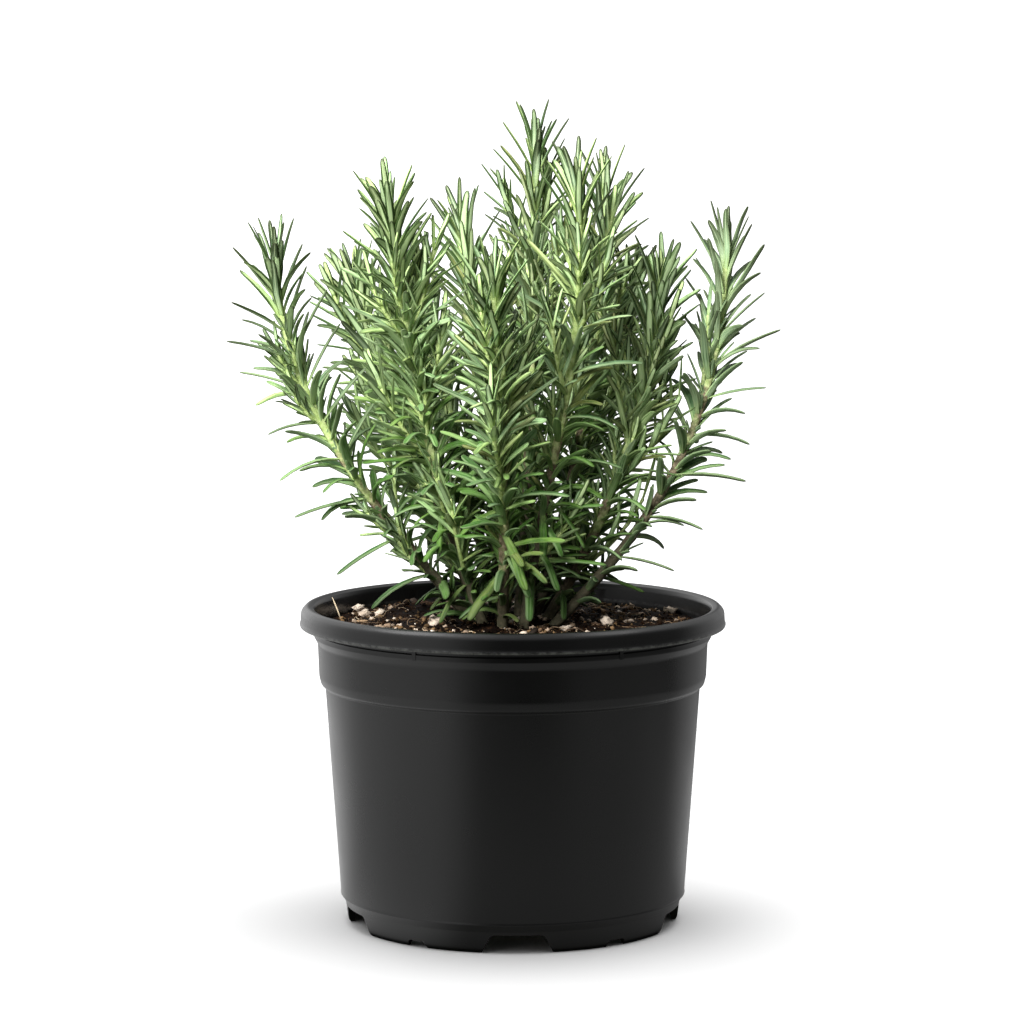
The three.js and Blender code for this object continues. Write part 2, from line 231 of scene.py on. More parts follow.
GRAIN_ROUNDNESS = 0.8
GRAIN_RISE = 0.35
SEEN_GRAIN_TINT = (0.55, 0.9)
LUMPS = 0.9
LUMP_SHIFT = 50
LUMPS_PER_RADIUS = 1.6
FIBRE_COUNT = 330
FIBRE_POINTS = 8
FIBRE_MARGIN = 9
FIBRE_STEP = (0.5, 1.7)
FIBRE_BEND = 0.56
FIBRE_KINK = 0.7
FIBRE_LIFT = (0.1, 1.7)
FIBRE_CLEARANCE = 0.1
FIBRE_RADIUS = (0.07, 0.2)
STRAW_RADIUS = 0.3
THREAD_SIDES = 6
THREAD_SIDE = (0.3, 0.2, 0.93)
THREAD_END = 0.5

# Pale grains that the photograph shows, as places across and deep, and how wide each is
SEEN_GRAINS = [
    (-61.1, 38.6, 4.6),
    (-58.0, 21.3, 4.2),
    (-51.9, 14.8, 3.6),
    (-44.8, 40.8, 3.8),
    (-30.0, -6.8, 5.2),
    (0.9, -2.8, 4.4),
    (20.4, -23.2, 4.2),
    (4.3, -41.9, 3.8),
    (36.2, -12.0, 4.6),
    (62.6, 39.6, 5.0),
]
STRAW = [(-67.5, 18, 115), (-68.6, 19.5, 118), (-69.8, 21.5, 120.5), (-70.9, 23, 122.8)]

# Stems: square in section, rooted in the soil
STEM_FOOT_HEIGHT = 114
STEM_ROOT_DEPTH = 24
STEM_FOOT_RADIUS = 2.4
STEM_TIP_RADIUS = 1
STEM_STEP = 20
STEM_BARE_LENGTH = 20
STEM_FINE_STEP = 2.2
STEM_SIDES = 16
STEM_FLAT_SHARE = 0.9
STEM_BARK_BACK = 135
SHOOT_FINE_STEP = 3
SHOOT_SIDES = 8
NODE_SWELLING = 0.22
NODE_REACH = 1.4
STEM_FINE_SHARE = 0.95
STEM_SQUARENESS = 4
SHOOT_AGE = 0.3

# Leaves: opposite pairs, each pair turned a quarter from the one before
LEAF_LENGTH = (22, 28)
LEAF_LENGTH_BACK = 12
LEAF_HALF_WIDTH = (1.3, 1.7)
FINE_SHARE = 0.993
FIRST_PAIR_BACK = 1.5
MATURE_BACK = 90
PAIR_SPACING = (3.9, 9.6)
OPEN_ANGLE = {"young": 11, "old": 66, "reach": 50}
LEAF_CURL = math.radians(13)
SMALL_LEAF_CURL = 0.12
LEAF_DROOP = 0.45

# How far one leaf may differ from the next
TURN_SPREAD = 0.6
OPEN_SPREAD = math.radians(16)
SIZE_SPREAD = (0.86, 1.12)
TWIST_SPREAD = 0.7
DROOP_SPREAD = (0.3, 2.2)

# How a leaf keeps clear of the other stems, the soil and the rim
LEAF_GAP = 0.35
LEAF_TRIES = 9
SWAY_STEP = 0.2
RAISE_STEP = 0.06
SHORTEN_STEP = 0.04
SOIL_CLEARANCE = 4.5

# Leaves that fill in between the pairs, one after the other round the stem, and hang lower near the soil
FILL_FIRST_BACK = 5
FILL_LAST_HEIGHT = 3
FILL_SPACING = (1.75, 1.55)
FILL_FIRST_TURN = 0.8
FILL_TURN = 2.4
FILL_SIZE = (0.74, 1.05)
FILL_OPENING = (0.4, 1.25)
FILL_CLASP = 0.55
FILL_BEND = 0.3
FILL_WIDTH = (1.4, 1.12)
FILL_FRONT = {"limit": -0.6, "kept": 0.7}
FILL_DROOP = (0.0, 1.0)
FILL_CLEARANCE = 0.9
FILL_TRIES = 5

# Wide leaves that hang round the foot of the plant
SKIRT_FIRST_HEIGHT = 5
SKIRT_LAST_HEIGHT = 58
SKIRT_SPACING = 4.1
SKIRT_OPENING = (62, 128)
SKIRT_SIZE = (0.72, 1.05)
SKIRT_WIDTH = 1.42
SKIRT_SPREAD = 2.3
SKIRT_MIDDLE = 12
SKIRT_DROOP = (0.5, 2.4)
SKIRT_STEP = (0.5, 1.5)
OPEN_SIDES = {"from": 35, "below": 152}

# Short side shoots in the axils of the pairs
SHOOT_FIRST_BACK = 38
SHOOT_LAST_HEIGHT = 12
SHOOT_SHARE = 0.5
SHOOT_LENGTH = (9, 42)
SHOOT_OPENING = (20, 42)
SHOOT_RARITY = 1.6
SHOOT_RADII = (0.9, 0.5)
SHOOT_RISE = 0.55
SHOOT_FIRST_PAIR_BACK = 0.4
SHOOT_BARE_LENGTH = 2
SHOOT_PAIR_SPACING = 3.4
SHOOT_PAIR_STEP = (0.8, 1.2)
SHOOT_LEAF_LENGTH = (8, 20)
SHOOT_LEAF_HALF_WIDTH = (0.8, 1.35)
SHOOT_LEAF_OPENING = (11, 52)
SHOOT_LEAF_POWER = 0.7
SHOOT_LEAF_SIZE = (0.7, 1.1)
SHOOT_LEAF_DROOP = 0.2
SHOOT_LEAF_AGE = (0.35, 1)

# Small leaves in the axils of the pairs, and the youngest ones at a stem's end
TUFT_LEAVES = 2
TUFT_LENGTH = (5, 14)
TUFT_HALF_WIDTH = (0.75, 1.15)
TUFT_FIRST_BACK = 24
TUFT_REACH = 0.8
TUFT_SPREAD = 1.7
TUFT_OPENING = (8, 38)
TUFT_DROOP = 0.25
BUD_LEAVES = 6
BUD_LENGTH = (13, 20)
BUD_HALF_WIDTH = (0.9, 1.4)
BUD_FIRST_BACK = 0.5
BUD_SPACING = 0.6
BUD_TURN = 1.9
BUD_OPENING = (6, 18)

# A leaf's section as (across, height) in half widths, with a value that goes from 1 in the groove on top
# through 0 at the edge to -1 on the rib below
LEAF_SECTION = [
    (0.0, 0.14, 1.0),
    (0.22, 0.34, 0.78),
    (0.64, 0.17, 0.36),
    (0.98, -0.14, 0.0),
    (0.64, -0.36, -0.36),
    (0.0, -0.4, -1.0),
]
SMALL_LEAF_SECTION = [
    (0.0, 0.1, 1.0),
    (0.5, 0.28, 0.5),
    (0.98, -0.06, 0.0),
    (0.54, -0.32, -0.46),
    (0.0, -0.42, -1.0),
]
LEAF_STATIONS = [0, 0.1, 0.25, 0.43, 0.62, 0.79, 0.91, 0.965, 0.992]
SMALL_LEAF_STATIONS = [0, 0.14, 0.38, 0.64, 0.85, 0.95, 0.985]
LEAF_FORM = (LEAF_SECTION, LEAF_STATIONS)
SMALL_LEAF_FORM = (SMALL_LEAF_SECTION, SMALL_LEAF_STATIONS)
LEAF_END = 0.998
# Leaves below this height get painted shade, which grows darker towards the soil
PAINTED_SHADE_BELOW = 153
LEAF_BASE_WIDTH = 0.6
LEAF_NARROW_PART = 0.4
LEAF_TAPER = (0.34, 0.16)
LEAF_TAPER_FROM = 0.5
LEAF_TIP_SHARE = 0.1
LEAF_THICKNESS = (0.85, 1.1)
LEAF_WAVES = (0.8, 1.6)
LEAF_SWAY = 0.028
LEAF_ROLL = 0.5
VEINS = {"across": 2.6, "along": 2.2, "own": 90.0}

# Each stem as in the plain model: its name, foot, the points that bend it, its tip, turn and seed
STEMS = [
    ("far_left", (-13, -5), [(-46, -11, 155), (-87, -20, 197)], (-89, -28, 254), 20, 30),
    ("left_front", (-10, -13), [(-29, -19, 163), (-39, -29, 218)], (-46, -38, 275), 0, 32),
    ("left_back", (-9, 9), [(-31, 16, 153), (-50, 32, 202)], (-63, 42, 245), 80, 66),
    ("mid_left", (-4, 4), [(-8, 13, 161), (-11, 26, 218)], (-20, 36, 264), 30, 44),
    ("mid_front", (-4, -19), [(-2, -34, 161), (-5, -50, 206)], (-7, -66, 249), 70, 20),
    ("tall", (2, -2), [(7, 8, 173), (8, 9, 239)], (9, 14, 297), 80, 48),
    ("right_front", (4, -15), [(10, -24, 168), (31, -27, 228)], (24, -34, 284), 80, 36),
    ("right_back", (8, 8), [(22, 13, 158), (36, 30, 226)], (36, 40, 280), 0, 42),
    ("right", (11, 0), [(38, -5, 157), (50, 6, 193)], (57, 10, 246), 20, 28),
    ("far_right", (14, -8), [(48, -3, 150), (80, 8, 182)], (83, 22, 255), 70, 33),
    ("back_left", (-5, 16), [(-18, 34, 165), (-30, 48, 215)], (-35, 60, 238), 40, 1),
    ("back", (3, 17), [(2, 38, 160), (4, 56, 205)], (3, 68, 251), 30, 2),
    ("back_right", (12, 14), [(26, 32, 160), (38, 46, 205)], (48, 58, 242), 20, 3),
]

# How each stem differs from the usual: how many leaves its body and its head have, how wide its head opens,
# how long its bud is, and how old even its youngest leaves look
USUAL_GROWTH = {"body": 1, "head": 1, "spread": 1, "bud": 1, "shade": 0}
GROWTH = {
    "far_left": {"body": 0.9, "head": 0.85, "spread": 1.4, "bud": 1.25, "shade": 0.1},
    "left_front": {"body": 1.9, "head": 2.8, "spread": 1.35},
    "left_back": {"body": 1.5, "head": 2.0},
    "tall": {"head": 0.5, "spread": 1.15},
    "right_front": {"head": 0.55},
    "right_back": {"body": 1.4, "head": 0.75},
    "right": {"body": 1.9, "head": 1.4, "shade": 0.1},
    "far_right": {"body": 0.7, "head": 0.6, "spread": 1.6, "bud": 1.3, "shade": 0.5},
}

# The range of tints of a stem's inner leaves, and that of its outer ones
USUAL_TINTS = ((0.0, 0.7), (0.1, 0.92))
STEM_TINTS = {
    "far_left": ((0.25, 0.92), (0.5, 1.0)),
    "left_front": ((0.12, 0.6), (0.12, 0.72)),
    "left_back": ((0.1, 0.65), (0.12, 0.8)),
    "far_right": ((0.6, 1.0), (0.7, 1.0)),
}
LATER_SEEDS = {"pairs": 0, "skirt": 300, "fill": 500, "shoots": 700, "finish": 1000}


def lerp(low, high, share):
    return low + (high - low) * share


def swing(draw, width):
    """A number drawn from a range of this width round zero."""
    return (draw() - 0.5) * width


def unit(vectors):
    return vectors / np.linalg.norm(vectors, axis=-1, keepdims=True)


def smooth_step(low, high, value):
    share = np.clip((value - low) / (high - low), 0, 1)
    return share * share * (3 - 2 * share)


def seeded_draws(seed):
    """Draws from 0 up to 1 that are the same at every run."""
    state = seed

    def draw():
        nonlocal state
        state = (state * 1664525 + 1013904223) % 4294967296
        return state / 4294967296

    return draw


def placed(name, data, place=(0, 0, 0)):
    """A new object of the scene, at a place in millimetres."""
    made = bpy.data.objects.new(name, data)
    made.location = Vector(place) * MM
    bpy.context.collection.objects.link(made)
    return made


class Shape:
    """The corners, faces and corner values of a piece while it is put together, in millimetres."""

    def __init__(self, *names):
        self.corners = []
        self.faces = []
        self.finishes = []
        self.values = {name: [] for name in names}
        self.count = 0

    def add(self, corners, faces, finish=0, **values):
        corners = np.asarray(corners, float).reshape(-1, 3)
        self.corners.append(corners)
        self.faces.extend([i + self.count for i in face] for face in faces)
        self.finishes.extend([finish] * len(faces))
        for name, rows in self.values.items():
            rows.append(np.broadcast_to(values.get(name, 0.0), len(corners)))
        self.count += len(corners)

    def piece(self, name, materials):
        mesh = bpy.data.meshes.new(name)
        mesh.from_pydata(np.concatenate(self.corners) * MM, [], self.faces)
        for material in materials:
            mesh.materials.append(material)
        mesh.polygons.foreach_set("material_index", self.finishes)
        mesh.shade_smooth()
        for value, rows in self.values.items():
            layer = mesh.attributes.new(value, "FLOAT", "POINT")
            layer.data.foreach_set("value", np.concatenate(rows).astype(np.float32))
        return placed(name, mesh)


def tube_faces(rings, sides, first=0):
    """Faces of a tube of rings, each with the same number of sides, counted from its first corner."""
    faces = []
    for ring in range(rings - 1):
        for side in range(sides):
            a = first + ring * sides + side
            b = first + ring * sides + (side + 1) % sides
            faces.append((a, b, b + sides, a + sides))
    return faces


# Materials


class Nodes:
    """A node tree while its nodes are put together."""

    def __init__(self, tree):
        self.tree = tree

    def add(self, kind, inputs=(), **settings):
        node = self.tree.nodes.new(kind)
        for name, value in settings.items():
            setattr(node, name, value)
        for name, value in dict(inputs).items():
            self.feed(node.inputs[name], value)
        return node

    def feed(self, socket, value):
        if isinstance(value, bpy.types.NodeSocket):
            self.tree.links.new(value, socket)
        else:
            socket.default_value = value

    def math(self, operation, a, b=0.0):
        node = self.add("ShaderNodeMath", operation=operation)
        self.feed(node.inputs[0], a)
        self.feed(node.inputs[1], b)
        return node.outputs[0]

    def times(self, a, b):
        return self.math("MULTIPLY", a, b)

    def spread(self, value, low, high, new_low=0.0, new_high=1.0, **settings):
        """A value between low and high, stretched over a new range and held inside it."""
        inputs = {
            "Value": value,
            "From Min": low,
            "From Max": high,
            "To Min": new_low,
            "To Max": new_high,
        }
        return self.add("ShaderNodeMapRange", inputs, **settings).outputs["Result"]

    def mix(self, share, a, b, blend="MIX"):
        node = self.add("ShaderNodeMix", data_type="RGBA", blend_type=blend)
        colours = [socket for socket in node.inputs if socket.type == "RGBA"]
        self.feed(node.inputs["Factor"], share)
        for socket, colour in zip(colours, (a, b)):
            self.feed(socket, (*colour, 1) if isinstance(colour, tuple) else colour)
        return next(socket for socket in node.outputs if socket.type == "RGBA")

    def ramp(self, value, *stops):
        node = self.add("ShaderNodeValToRGB", {"Fac": value})
        elements = node.color_ramp.elements
        while len(elements) < len(stops):
            elements.new(0.5)
        for element, (place, colour) in zip(elements, stops):
            element.position = place
            element.color = (*colour, 1)
        return node.outputs["Color"]


class Finish(Nodes):
    """A material while its nodes are put together."""

    def __init__(self, name):
        self.material = bpy.data.materials.new(name)
        self.material.use_nodes = True
        super().__init__(self.material.node_tree)
        self.shader = self.tree.nodes["Principled BSDF"]

    def place(self):
        return self.add("ShaderNodeTexCoord").outputs["Object"]

    def height(self):
        return self.add("ShaderNodeSeparateXYZ", {"Vector": self.place()}).outputs["Z"]

    def value(self, name):
        return self.add("ShaderNodeAttribute", attribute_name=name).outputs["Fac"]

    def noise(self, size, detail=3, roughness=0.5):
        """Noise from 0 to 1 with features about as wide as the size in millimetres."""
        inputs = {
            "Vector": self.place(),
            "Scale": 1 / (size * MM),
            "Detail": detail,
            "Roughness": roughness,
        }
        return self.add("ShaderNodeTexNoise", inputs).outputs["Fac"]

    def drawn_out(self, side, along, tint):
        """Noise from 0 to 1 in long streaks along a leaf, and different on each leaf."""
        across = self.times(side, VEINS["across"])
        lengthwise = self.times(along, VEINS["along"])
        own = self.times(tint, VEINS["own"])
        place = self.add("ShaderNodeCombineXYZ", {"X": across, "Y": lengthwise, "Z": own}).outputs[0]
        return self.add("ShaderNodeTexNoise", {"Vector": place, "Scale": 1.0, "Detail": 2}).outputs["Fac"]

    def bump(self, height, depth, strength=1.0):
        """Relief with a depth in millimetres."""
        inputs = {"Height": height, "Distance": depth * MM, "Strength": strength}
        node = self.add("ShaderNodeBump", inputs)
        self.feed(self.shader.inputs["Normal"], node.outputs["Normal"])

    def finish(self, colour, roughness, specular):
        self.feed(self.shader.inputs["Base Color"], colour)
        self.feed(self.shader.inputs["Roughness"], roughness)
        self.shader.inputs["Specular IOR Level"].default_value = specular
        return self.material


def pot_plastic():
    """Satin black plastic with faint cloudiness, a moulded grain, a little dust and a painted highlight
    line.
    """
    made = Finish("pot_plastic")
    cloud = made.noise(22, 4)
    dust = made.spread(made.noise(3.2, 6, 0.7), 0.62, 0.8, 0.0, 0.15)
    black = made.mix(cloud, (0.0035, 0.0036, 0.0039), (0.006, 0.0061, 0.0065))
    dusty = made.mix(dust, black, (0.02, 0.0195, 0.019))
    # Painted highlight: a pale, uneven line along the bead under the lip
    from_bead = made.math("ABSOLUTE", made.math("SUBTRACT", made.height(), HIGHLIGHT_LINE_HEIGHT * MM))
    at_bead = made.spread(from_bead, HIGHLIGHT_LINE_REACH * MM, HIGHLIGHT_LINE_REACH * MM / 3)
    painted_highlight = made.times(at_bead, made.spread(made.noise(2.6, 5, 0.7), 0.4, 0.6, 0.15, 0.9))
    colour = made.mix(painted_highlight, dusty, (0.11, 0.11, 0.115))
    made.bump(made.noise(0.55, 3), 0.05, 0.35)
    return made.finish(colour, made.spread(cloud, 0.3, 0.7, 0.26, 0.33), 0.5)


def soil_earth():
    """Dark, damp peat with lighter crumbs."""
    made = Finish("soil_earth")
    patches = made.noise(2.4, 6, 0.65)
    colour = made.ramp(
        patches,
        (0.36, (0.0020, 0.0009, 0.0004)),
        (0.52, (0.0068, 0.0028, 0.0011)),
        (0.63, (0.029, 0.0128, 0.0052)),
        (0.76, (0.095, 0.052, 0.027)),
    )
    tinted = made.mix(made.spread(made.value("tint"), 0.3, 1.0, 0.0, 0.9), colour, (0.27, 0.165, 0.08))
    made.bump(made.noise(0.7, 5, 0.7), 0.5, 0.8)
    return made.finish(tinted, made.spread(patches, 0.3, 0.7, 0.62, 0.95), 0.08)


def soil_bark():
    """Bits of bark, from nearly black to reddish brown."""
    made = Finish("soil_bark")
    grain = made.noise(0.9, 4, 0.6)
    own = made.ramp(
        made.value("tint"),
        (0.0, (0.010, 0.006, 0.003)),
        (0.4, (0.045, 0.024, 0.012)),
        (0.7, (0.17, 0.095, 0.050)),
        (1.0, (0.42, 0.28, 0.16)),
    )
    colour = made.mix(made.spread(grain, 0.35, 0.65, 0.0, 0.6), own, (0.018, 0.011, 0.007))
    made.bump(grain, 0.3, 0.7)
    return made.finish(colour, 0.8, 0.3)


def soil_grain():
    """Pale mineral grains, cream to buff, with brown soil in their hollows."""
    made = Finish("soil_grain")
    dirt = made.spread(made.noise(1.1, 4, 0.6), 0.5, 0.68, 0.0, 0.8)
    own = made.ramp(
        made.value("tint"),
        (0.0, (0.26, 0.175, 0.11)),
        (0.4, (0.50, 0.38, 0.275)),
        (0.8, (0.74, 0.62, 0.50)),
        (1.0, (0.86, 0.79, 0.69)),
    )
    colour = made.mix(dirt, own, (0.085, 0.055, 0.032))
    made.bump(made.noise(0.6, 4), 0.25, 0.7)
    return made.finish(colour, 0.75, 0.35)


def soil_fibre():
    """Roots and straws."""
    made = Finish("soil_fibre")
    colour = made.ramp(
        made.value("tint"),
        (0.0, (0.06, 0.038, 0.022)),
        (0.5, (0.24, 0.155, 0.09)),
        (1.0, (0.62, 0.50, 0.34)),
    )
    made.bump(made.noise(0.5, 2), 0.1, 0.5)
    return made.finish(colour, 0.7, 0.3)


def stem_skin():
    """Yellow-green above, with olive and brown bark that comes in patches lower down."""
    made = Finish("stem_skin")
    age = made.value("age")
    streaks = made.noise(1.6, 4, 0.65)
    green = made.mix(made.spread(streaks, 0.35, 0.65), (0.20, 0.28, 0.07), (0.42, 0.50, 0.22))
    bark = made.ramp(
        streaks,
        (0.3, (0.046, 0.036, 0.018)),
        (0.5, (0.13, 0.100, 0.056)),
        (0.7, (0.30, 0.235, 0.15)),
    )
    patches = made.math("ADD", made.spread(age, 0.35, 1.0, -0.35, 0.4), made.noise(7, 3))
    barky = made.mix(made.spread(patches, 0.44, 0.64), green, bark)
    colour = made.mix(made.spread(age, 0.7, 1.0, 0.0, 0.8), barky, (0.022, 0.024, 0.010))
    made.bump(streaks, 0.25, 0.6)
    return made.finish(colour, made.spread(age, 0.0, 1.0, 0.5, 0.8), 0.35)


def leaf_greens(made, tint, age, side):
    """The green of a leaf's two faces, which darkens with age and is paler below."""
    young = made.ramp(
        tint,
        (0.0, (0.28, 0.27, 0.10)),
        (0.2, (0.43, 0.56, 0.22)),
        (0.5, (0.33, 0.50, 0.22)),
        (0.75, (0.24, 0.40, 0.24)),
        (1.0, (0.26, 0.35, 0.23)),
    )
    old = made.ramp(
        tint,
        (0.0, (0.092, 0.100, 0.023)),
        (0.25, (0.068, 0.148, 0.018)),
        (0.55, (0.031, 0.106, 0.010)),
        (0.8, (0.018, 0.075, 0.015)),
        (1.0, (0.056, 0.104, 0.034)),
    )
    above = made.mix(made.spread(age, 0.33, 1.0), young, old)
    below = made.mix(made.spread(age, 0.3, 1.0, 0.4, 0.15), above, (0.44, 0.54, 0.34))
    return made.mix(made.spread(side, -0.2, 0.2), below, above)


def leaf_skin():
    """Leathery leaves in many greens, with pale veins, bases and middles, dark edges and tips, and painted
    shade near the soil.
    """
    made = Finish("leaf_skin")
    tint, age, along, side = [made.value(name) for name in ("tint", "age", "along", "side")]
    veins = made.drawn_out(side, along, tint)
    inwards = made.math("ABSOLUTE", side)

    def aged(*edges):
        return made.spread(age, *edges)

    pale_edge = made.times(made.spread(tint, 0.42, 0.52), aged(0.35, 0.6))
    edge_colour = made.mix(pale_edge, (0.017, 0.040, 0.006), (0.33, 0.42, 0.22))
    fading = made.times(made.spread(tint, 0.52, 0.74, 0.0, 0.88), aged(0.55, 0.95, 1.0, 0.3))
    dust = made.spread(made.noise(0.8, 4, 0.7), 0.45, 0.7, 0.0, 0.4)
    tip = made.spread(along, 0.92, 0.99, 0.0, 0.8)
    # Painted shade on the leaves near the soil, which grows darker towards it
    painted_shade_near_soil = made.spread(made.height(), PAINTED_SHADE_BELOW * MM, SOIL_EDGE * MM, 0.0, 0.7)
    coats = {
        "pale veins": (made.spread(veins, 0.5, 0.64), aged(0.1, 0.85, 0.55, 0.12), (0.41, 0.51, 0.27)),
        "dark streaks": (made.spread(veins, 0.48, 0.36, 0.0, 0.7), 1.0, (0.016, 0.056, 0.006)),
        "edge": (made.spread(inwards, 0.56, 0.34), aged(0.3, 0.85, 0.95, 0.3), edge_colour),
        "pale base": (made.spread(along, 0.36, 0.04), aged(0.2, 1.0, 0.8, 0.3), (0.46, 0.60, 0.22)),
        "dusky end": (made.spread(along, 0.25, 0.8), fading, (0.028, 0.040, 0.015)),
        "pale middle": (made.spread(inwards, 0.82, 0.94), aged(0.3, 0.85, 0.72, 0.06), (0.42, 0.50, 0.30)),
        "dark tip": (tip, aged(0.4, 0.8, 1.0, 0.2), (0.028, 0.032, 0.016)),
        "dust": (dust, aged(0.7, 1.0), (0.11, 0.13, 0.085)),
        "painted shade near the soil": (painted_shade_near_soil, 1.0, (0.010, 0.016, 0.007)),
    }
    colour = leaf_greens(made, tint, age, side)
    for share, other_share, coat_colour in coats.values():
        colour = made.mix(made.times(share, other_share), colour, coat_colour)
    made.bump(made.noise(0.45, 3), 0.12, 0.5)
    return made.finish(colour, made.spread(veins, 0.3, 0.7, 0.48, 0.64), 0.07)


# The pot


def corner_curve(before, corner, after, reach_before, reach_after):
    """A short curve in place of a corner, which it leaves out from a reach before to a reach after it."""
    start = corner + unit(before - corner) * reach_before
    end = corner + unit(after - corner) * reach_after
    times = [step / ROUND_STEPS for step in range(ROUND_STEPS + 1)]
    return [(1 - t) ** 2 * start + 2 * t * (1 - t) * corner + t * t * end for t in times]


def longest_reach(corner, other):
    return CORNER_SHARE * np.linalg.norm(other - corner)


def rounded(profile):
    """A profile of (radius, height, rounding) with each corner drawn as a short curve."""
    corners = [np.array(row[:2], float) for row in profile]
    points = [corners[0]]
    for i in range(1, len(profile) - 1):
        before, corner, after = corners[i - 1 : i + 2]
        reach = min(profile[i][2], longest_reach(corner, before), longest_reach(corner, after))
        points.extend(corner_curve(before, corner, after, reach, reach))
    return [*points, corners[-1]]


def outer_profile():
    """The outside of the pot from the foot to the crest of its rolled lip, which is open underneath."""
    return [
        (FOOT_INNER_RADIUS, FLOOR_UNDERSIDE, SHARP_ROUND),
        (FOOT_INNER_RADIUS, 0, SHARP_ROUND),
        (FOOT_RADIUS, 0, SHARP_ROUND),
        (FOOT_RADIUS + FOOT_CHAMFER_OUT, FOOT_CHAMFER_UP, SOFT_ROUND),
        (FOOT_TOP_RADIUS, FOOT_TOP, SHARP_ROUND),
        (WALL_BOTTOM_RADIUS - FOOT_BEAD, WALL_BOTTOM - FOOT_BEAD_HEIGHT, FINE_ROUND),
        (WALL_BOTTOM_RADIUS + FOOT_BEAD, WALL_BOTTOM - FOOT_BEAD_HEIGHT, FINE_ROUND),
        (WALL_BOTTOM_RADIUS + FOOT_BEAD, WALL_BOTTOM, FINE_ROUND),
        (WALL_BOTTOM_RADIUS + FOOT_BEAD / 4, WALL_BOTTOM + FOOT_BEAD_HEIGHT, SHARP_ROUND),
        (WALL_TOP_RADIUS, WALL_TOP, SHARP_ROUND),
        (SHOULDER_RADIUS, SHOULDER_HEIGHT, SOFT_ROUND),
        (BAND_RADIUS, BAND_BOTTOM, SOFT_ROUND),
        (BAND_TOP_RADIUS, BAND_TOP, SOFT_ROUND),
        (COLLAR_RADIUS, COLLAR_BOTTOM, SHARP_ROUND),
        (COLLAR_RADIUS, LEDGE_HEIGHT, SHARP_ROUND),
        (COLLAR_RADIUS - LEDGE_DEPTH, COLLAR_TOP, SHARP_ROUND),
        (LIP_HOLLOW_RADIUS, LIP_HOLLOW_TOP, SOFT_ROUND),
        (LIP_INNER_RADIUS, LIP_HOLLOW_TOP, SOFT_ROUND),
        (LIP_INNER_RADIUS, LIP_BOTTOM, SHARP_ROUND),
        (BEAD_BOTTOM_RADIUS, LIP_BOTTOM, SHARP_ROUND),
        (RIM_RADIUS, BEAD_HEIGHT, SHARP_ROUND),
        (LIP_FACE_RADIUS, LIP_FACE_BOTTOM, SOFT_ROUND),
        (LIP_TOP_RADIUS, LIP_TOP, WIDE_ROUND),
        (CREST_RADIUS, POT_HEIGHT, WIDE_ROUND),
        (THROAT_RADIUS, THROAT_TOP, SHARP_ROUND),
    ]


def inner_profile():
    """The inside of the pot from the rim down to the floor."""
    return [
        (RIM_INNER_RADIUS, LIP_TOP, SOFT_ROUND),
        (COLLAR_RADIUS - WALL_THICKNESS, COLLAR_BOTTOM, SOFT_ROUND),
        (BAND_TOP_RADIUS - WALL_THICKNESS, BAND_TOP, SOFT_ROUND),
        (BAND_RADIUS - WALL_THICKNESS, BAND_BOTTOM, SOFT_ROUND),
        (WALL_TOP_RADIUS - WALL_THICKNESS, WALL_TOP, SOFT_ROUND),
        (WALL_BOTTOM_RADIUS - WALL_THICKNESS, WALL_BOTTOM, SOFT_ROUND),
        (FOOT_TOP_RADIUS - WALL_THICKNESS, FLOOR_TOP, SOFT_ROUND),
    ]


def turned(shape, profile, segments):
    """Adds a profile that starts and ends on the axis, turned round it."""
    turns = np.linspace(0, 2 * math.pi, segments, endpoint=False)
    rings = np.array(profile[1:-1])
    radii = rings[:, 0][:, None]
    x = radii * np.cos(turns)
    y = radii * np.sin(turns)
    z = np.broadcast_to(rings[:, 1][:, None], x.shape)
    corners = np.stack([x, y, z], axis=-1).reshape(-1, 3)
    ends = [(0, 0, profile[0][1]), (0, 0, profile[-1][1])]
    low = len(corners)
    faces = tube_faces(len(rings), segments)
    last = (len(rings) - 1) * segments
    for side in range(segments):
        following = (side + 1) % segments
        faces.append((low, following, side))
        faces.append((low + 1, last + side, last + following))
    shape.add(np.vstack([corners, ends]), faces)


def round_outline(outline, size):
    """A closed outline with each corner drawn as a short curve."""
    corners = [np.array(point, float) for point in outline]
    points = []
    for i, corner in enumerate(corners):
        before = corners[i - 1]
        after = corners[(i + 1) % len(corners)]
        reach_before = min(size, longest_reach(corner, before))
        reach_after = min(size, longest_reach(corner, after))
        points.extend(corner_curve(before, corner, after, reach_before, reach_after))
    return points


def prism(shape, corners):
    """Adds a prism, given as the corners of its first end and then those of its second."""
    sides = len(corners) // 2
    faces = [tuple(reversed(face)) for face in tube_faces(2, sides)]
    faces.append(tuple(range(sides)))
    faces.append(tuple(reversed(range(sides, 2 * sides))))
    shape.add(corners, faces)


def outwards_prism(shape, outline, azimuth, radii):
    """Adds a prism that points away from the pot's axis: an outline of (across, up) at two radii."""
    cos = math.cos(azimuth)
    sin = math.sin(azimuth)
    prism(shape, [(x * cos + out * sin, x * sin - out * cos, up) for out in radii for x, up in outline])


def notch_cutter(shape, notch, azimuth):
    """A slot through the foot ring, wider at the surface that the pot stands on."""
    outline = [
        (-notch["bottom"] / 2, -CUT_MARGIN),
        (notch["bottom"] / 2, -CUT_MARGIN),
        (notch["bottom"] / 2, 0),
        (notch["top"] / 2, notch["height"]),
        (-notch["top"] / 2, notch["height"]),
        (-notch["bottom"] / 2, 0),
    ]
    radii = (FOOT_INNER_RADIUS - CUT_MARGIN, FOOT_TOP_RADIUS + CUT_MARGIN)
    outwards_prism(shape, round_outline(outline, notch["round"]), azimuth, radii)


